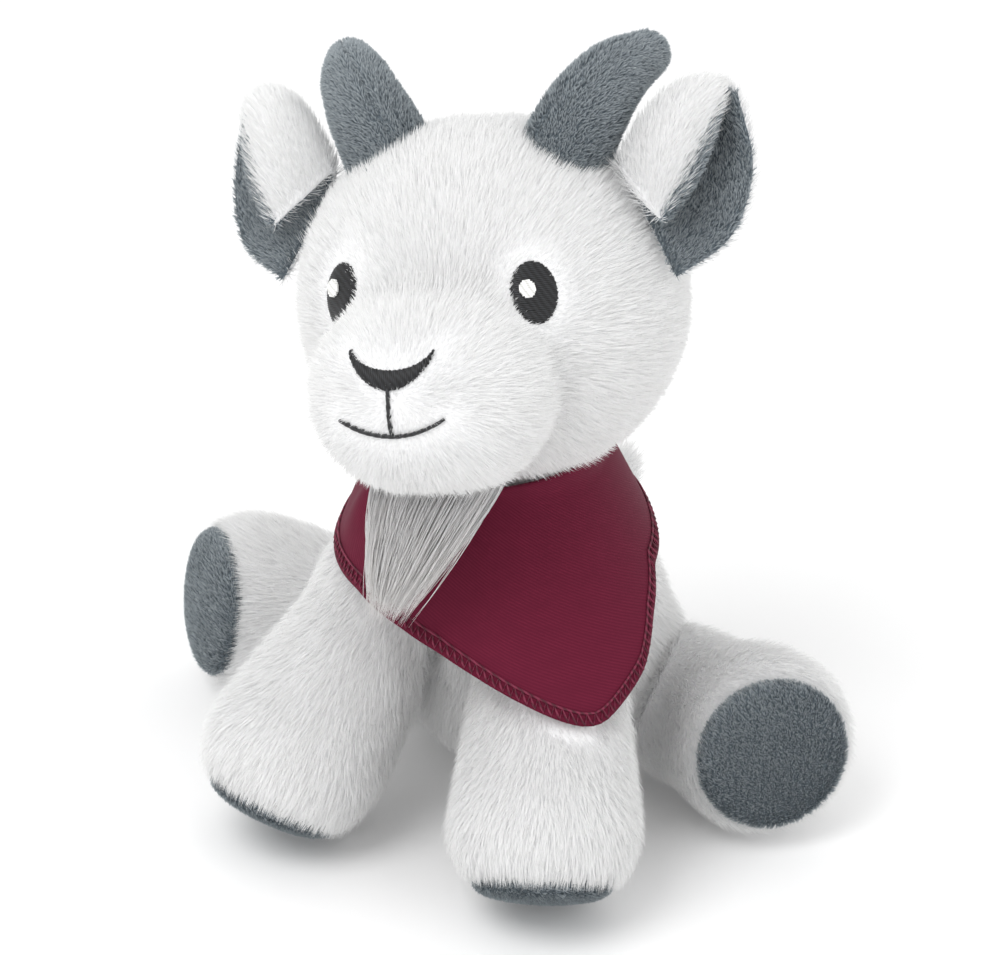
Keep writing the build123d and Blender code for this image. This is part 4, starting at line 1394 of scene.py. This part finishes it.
def knotPiece():
    # A wrapped knot: one thick turn of cloth and the two ends that hang from it
    angle = radians(knotSize["turn"])
    outward = np.array([sin(angle), -cos(angle), 0.0])
    sideways = np.array([cos(angle), sin(angle), 0.0])
    up = np.array([0, 0, 1.0])
    slope = kerchiefSize["slope"] - kerchiefSize["backDrop"]
    radius = (kerchiefSize["topRadius"] + (kerchiefSize["topHeight"] - knotSize["height"]) * slope) * mm
    centre = neckAxis + outward * (radius + knotSize["radius"] * 0.95 * mm) \
        + up * knotSize["height"] * mm
    form = bmesh.new()

    def tube(path, width, depth, twist=0.0):
        path = np.asarray(path, float)
        tangent = unit(np.gradient(path, axis=0))
        rings = []
        for i, p in enumerate(path):
            share = i / (len(path) - 1)
            across = unit(np.cross(tangent[i], outward + 0.15 * up))
            other = np.cross(across, tangent[i])
            turn = twist * share
            a = across * cos(turn) + other * sin(turn)
            b = np.cross(a, tangent[i])
            w = np.interp(share, np.linspace(0, 1, len(width)), width) * mm
            d = np.interp(share, np.linspace(0, 1, len(depth)), depth) * mm
            ring = []
            for k in range(20):
                angleK = 2 * pi * k / 20
                crease = 1 + 0.10 * sin(3 * angleK + share * 4)
                ring.append(form.verts.new(p + a * w * cos(angleK) * crease + b * d * sin(angleK)))
            rings.append(ring)
        for first, second in zip(rings, rings[1:]):
            for k in range(20):
                form.faces.new((first[k], first[(k + 1) % 20], second[(k + 1) % 20], second[k]))
        form.faces.new(list(reversed(rings[0])))
        form.faces.new(rings[-1])

    r = knotSize["radius"] * mm
    turns = np.linspace(0, 2 * pi, 29)
    loop = [centre + sideways * (r * 0.62 * cos(a)) + outward * (r * 0.55 * sin(a))
            + up * (r * 0.25 * sin(a * 0.5)) for a in turns]
    tube(loop, [3.4, 3.8, 3.4], [1.9, 2.2, 1.9])
    for side in (1, -1):
        start = centre - up * r * 0.2 + sideways * side * r * 0.3
        splay = radians(knotSize["splay"])
        tip = start + (-up * cos(splay) + sideways * side * sin(splay)) * knotSize["tail"] * mm \
            + outward * 5.5 * mm
        middle = (start + tip) / 2 + outward * 3.4 * mm + sideways * side * 1.5 * mm
        t = np.linspace(0, 1, 15)[:, None]
        tube(start * (1 - t)**2 + 2 * middle * t * (1 - t) + tip * t**2, [2.2, 3.6, 4.4, 3.4, 0.9],
             [1.5, 0.9, 0.6, 0.5, 0.4], twist=0.5 * side)
    mesh = bpy.data.meshes.new("kerchief_knot")
    bmesh.ops.recalc_face_normals(form, faces=form.faces)
    form.to_mesh(mesh)
    form.free()
    ob = newObject("kerchief_knot", mesh, wineCloth)
    finer = ob.modifiers.new("finer", "SUBSURF")
    finer.levels = finer.render_levels = 1
    baked(ob)
    co = places(ob.data)
    own = ob.data.uv_layers.new(name="OFBake")
    loops = np.empty(len(ob.data.loops), np.int32)
    ob.data.loops.foreach_get("vertex_index", loops)
    wide = (co - centre) @ (sideways + 0.4 * outward) / (200 * mm) * 4 + 0.5
    tall = (co - centre) @ (up + 0.3 * outward) / (100 * mm) * 2 + 0.7
    own.uv.foreach_set("vector", np.stack([wide, tall], 1)[loops].clip(0, 1).astype(np.float32).ravel())
    ob.data.shade_smooth()
    return ob


knot = knotPiece()
print("knot made")


for body, ob in skins.items():
    ob.data.materials.clear()
    ob.data.materials.append(whiteBacking)
    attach(ob, body)
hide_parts("head_cover", "head_stuffing", "muzzle_cover", "muzzle_stuffing")
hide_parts("torso_cover", "torso_stuffing")
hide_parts("tail_cover", "tail_stuffing")
for body, ob in limbSkins.items():
    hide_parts(body + "_cover", body + "_stuffing")
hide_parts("beard")
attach(beard, "head")

for ob, node, slot in ((kerchief, "bandana_cloth", "bandana_cloth"), (hem, "bandana_hem", "bandana_thread")):
    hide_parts(node)
    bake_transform(ob)
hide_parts("bandana_knot")
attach(knot, "torso")

for name, material in (("neck_seam", seamTape), ("pellet_bag", bagCloth)):
    nodes[name].data.materials.clear()
    nodes[name].data.materials.append(material)
    nodes[name].material_slots[0].link = "DATA"
removed(blade)


def stageFloor():
    material, tree = newMaterial("paleStudioPaper")
    place = addNode(tree, "ShaderNodeTexCoord")
    mottle = addNode(tree, "ShaderNodeTexNoise", {"Vector": place.outputs["Object"], "Scale": 9.0,
                                                  "Detail": 3.0})
    colour = addNode(tree, "ShaderNodeMixRGB", {"Fac": mottle.outputs["Fac"], "Color1": hexColour("#f7f7f7"),
                                                "Color2": hexColour("#fbfbfb")})
    shader = addNode(tree, "ShaderNodeBsdfPrincipled", {"Base Color": colour.outputs[0], "Roughness": 0.9})
    finishMaterial(tree, shader)
    mesh = meshFrom("floor", [(-6, -6, 0), (6, -6, 0), (6, 6, 0), (-6, 6, 0)], [(0, 1, 2, 3)])
    floor = newObject("floor", mesh, material, smooth=False)
    floor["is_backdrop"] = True


stageFloor()
world = bpy.data.worlds.new("studio")
world.use_nodes = True
world.node_tree.nodes["Background"].inputs["Color"].default_value = hexColour("#ffffff")
world.node_tree.nodes["Background"].inputs["Strength"].default_value = 0.97
bpy.context.scene.world = world

viewAim = neckAxis + np.array([5.6, -9.0, 84.0]) * mm
viewTurn, viewLift, viewDistance = radians(27.5), radians(28.0), 0.85


def areaLight(name, turn, lift, distance, size, power):
    data = bpy.data.lights.new(name, "AREA")
    data.shape = "DISK"
    data.size = size
    data.energy = power
    ob = bpy.data.objects.new(name, data)
    direction = Vector((sin(radians(turn)) * cos(radians(lift)), -cos(radians(turn)) * cos(radians(lift)),
                        sin(radians(lift))))
    ob.location = Vector(viewAim) + direction * distance
    ob.rotation_euler = direction.to_track_quat("Z", "Y").to_euler()
    bpy.context.scene.collection.objects.link(ob)


areaLight("keyLight", -15, 55, 1.2, 0.7, 5.5)
areaLight("fillLight", 75, 30, 1.4, 0.9, 1.8)

camera = bpy.data.objects.new("camera", bpy.data.cameras.new("camera"))
camera.data.lens = 144
camera.data.sensor_width = 36
camera.data.clip_start = 0.01
toCamera = Vector((sin(viewTurn) * cos(viewLift), -cos(viewTurn) * cos(viewLift), sin(viewLift)))
camera.location = Vector(viewAim) + toCamera * viewDistance
camera.rotation_euler = toCamera.to_track_quat("Z", "Y").to_euler()
bpy.context.scene.collection.objects.link(camera)
bpy.context.scene.camera = camera
bpy.context.scene.view_settings.view_transform = "Standard"
bpy.context.scene.cycles.diffuse_bounces = 8

visualBox = [list(corner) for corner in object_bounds()]
for name, box in (("cad", cadBox), ("visual", visualBox)):
    print(name, "size mm", [[round(v / mm, 1) for v in corner] for corner in box])
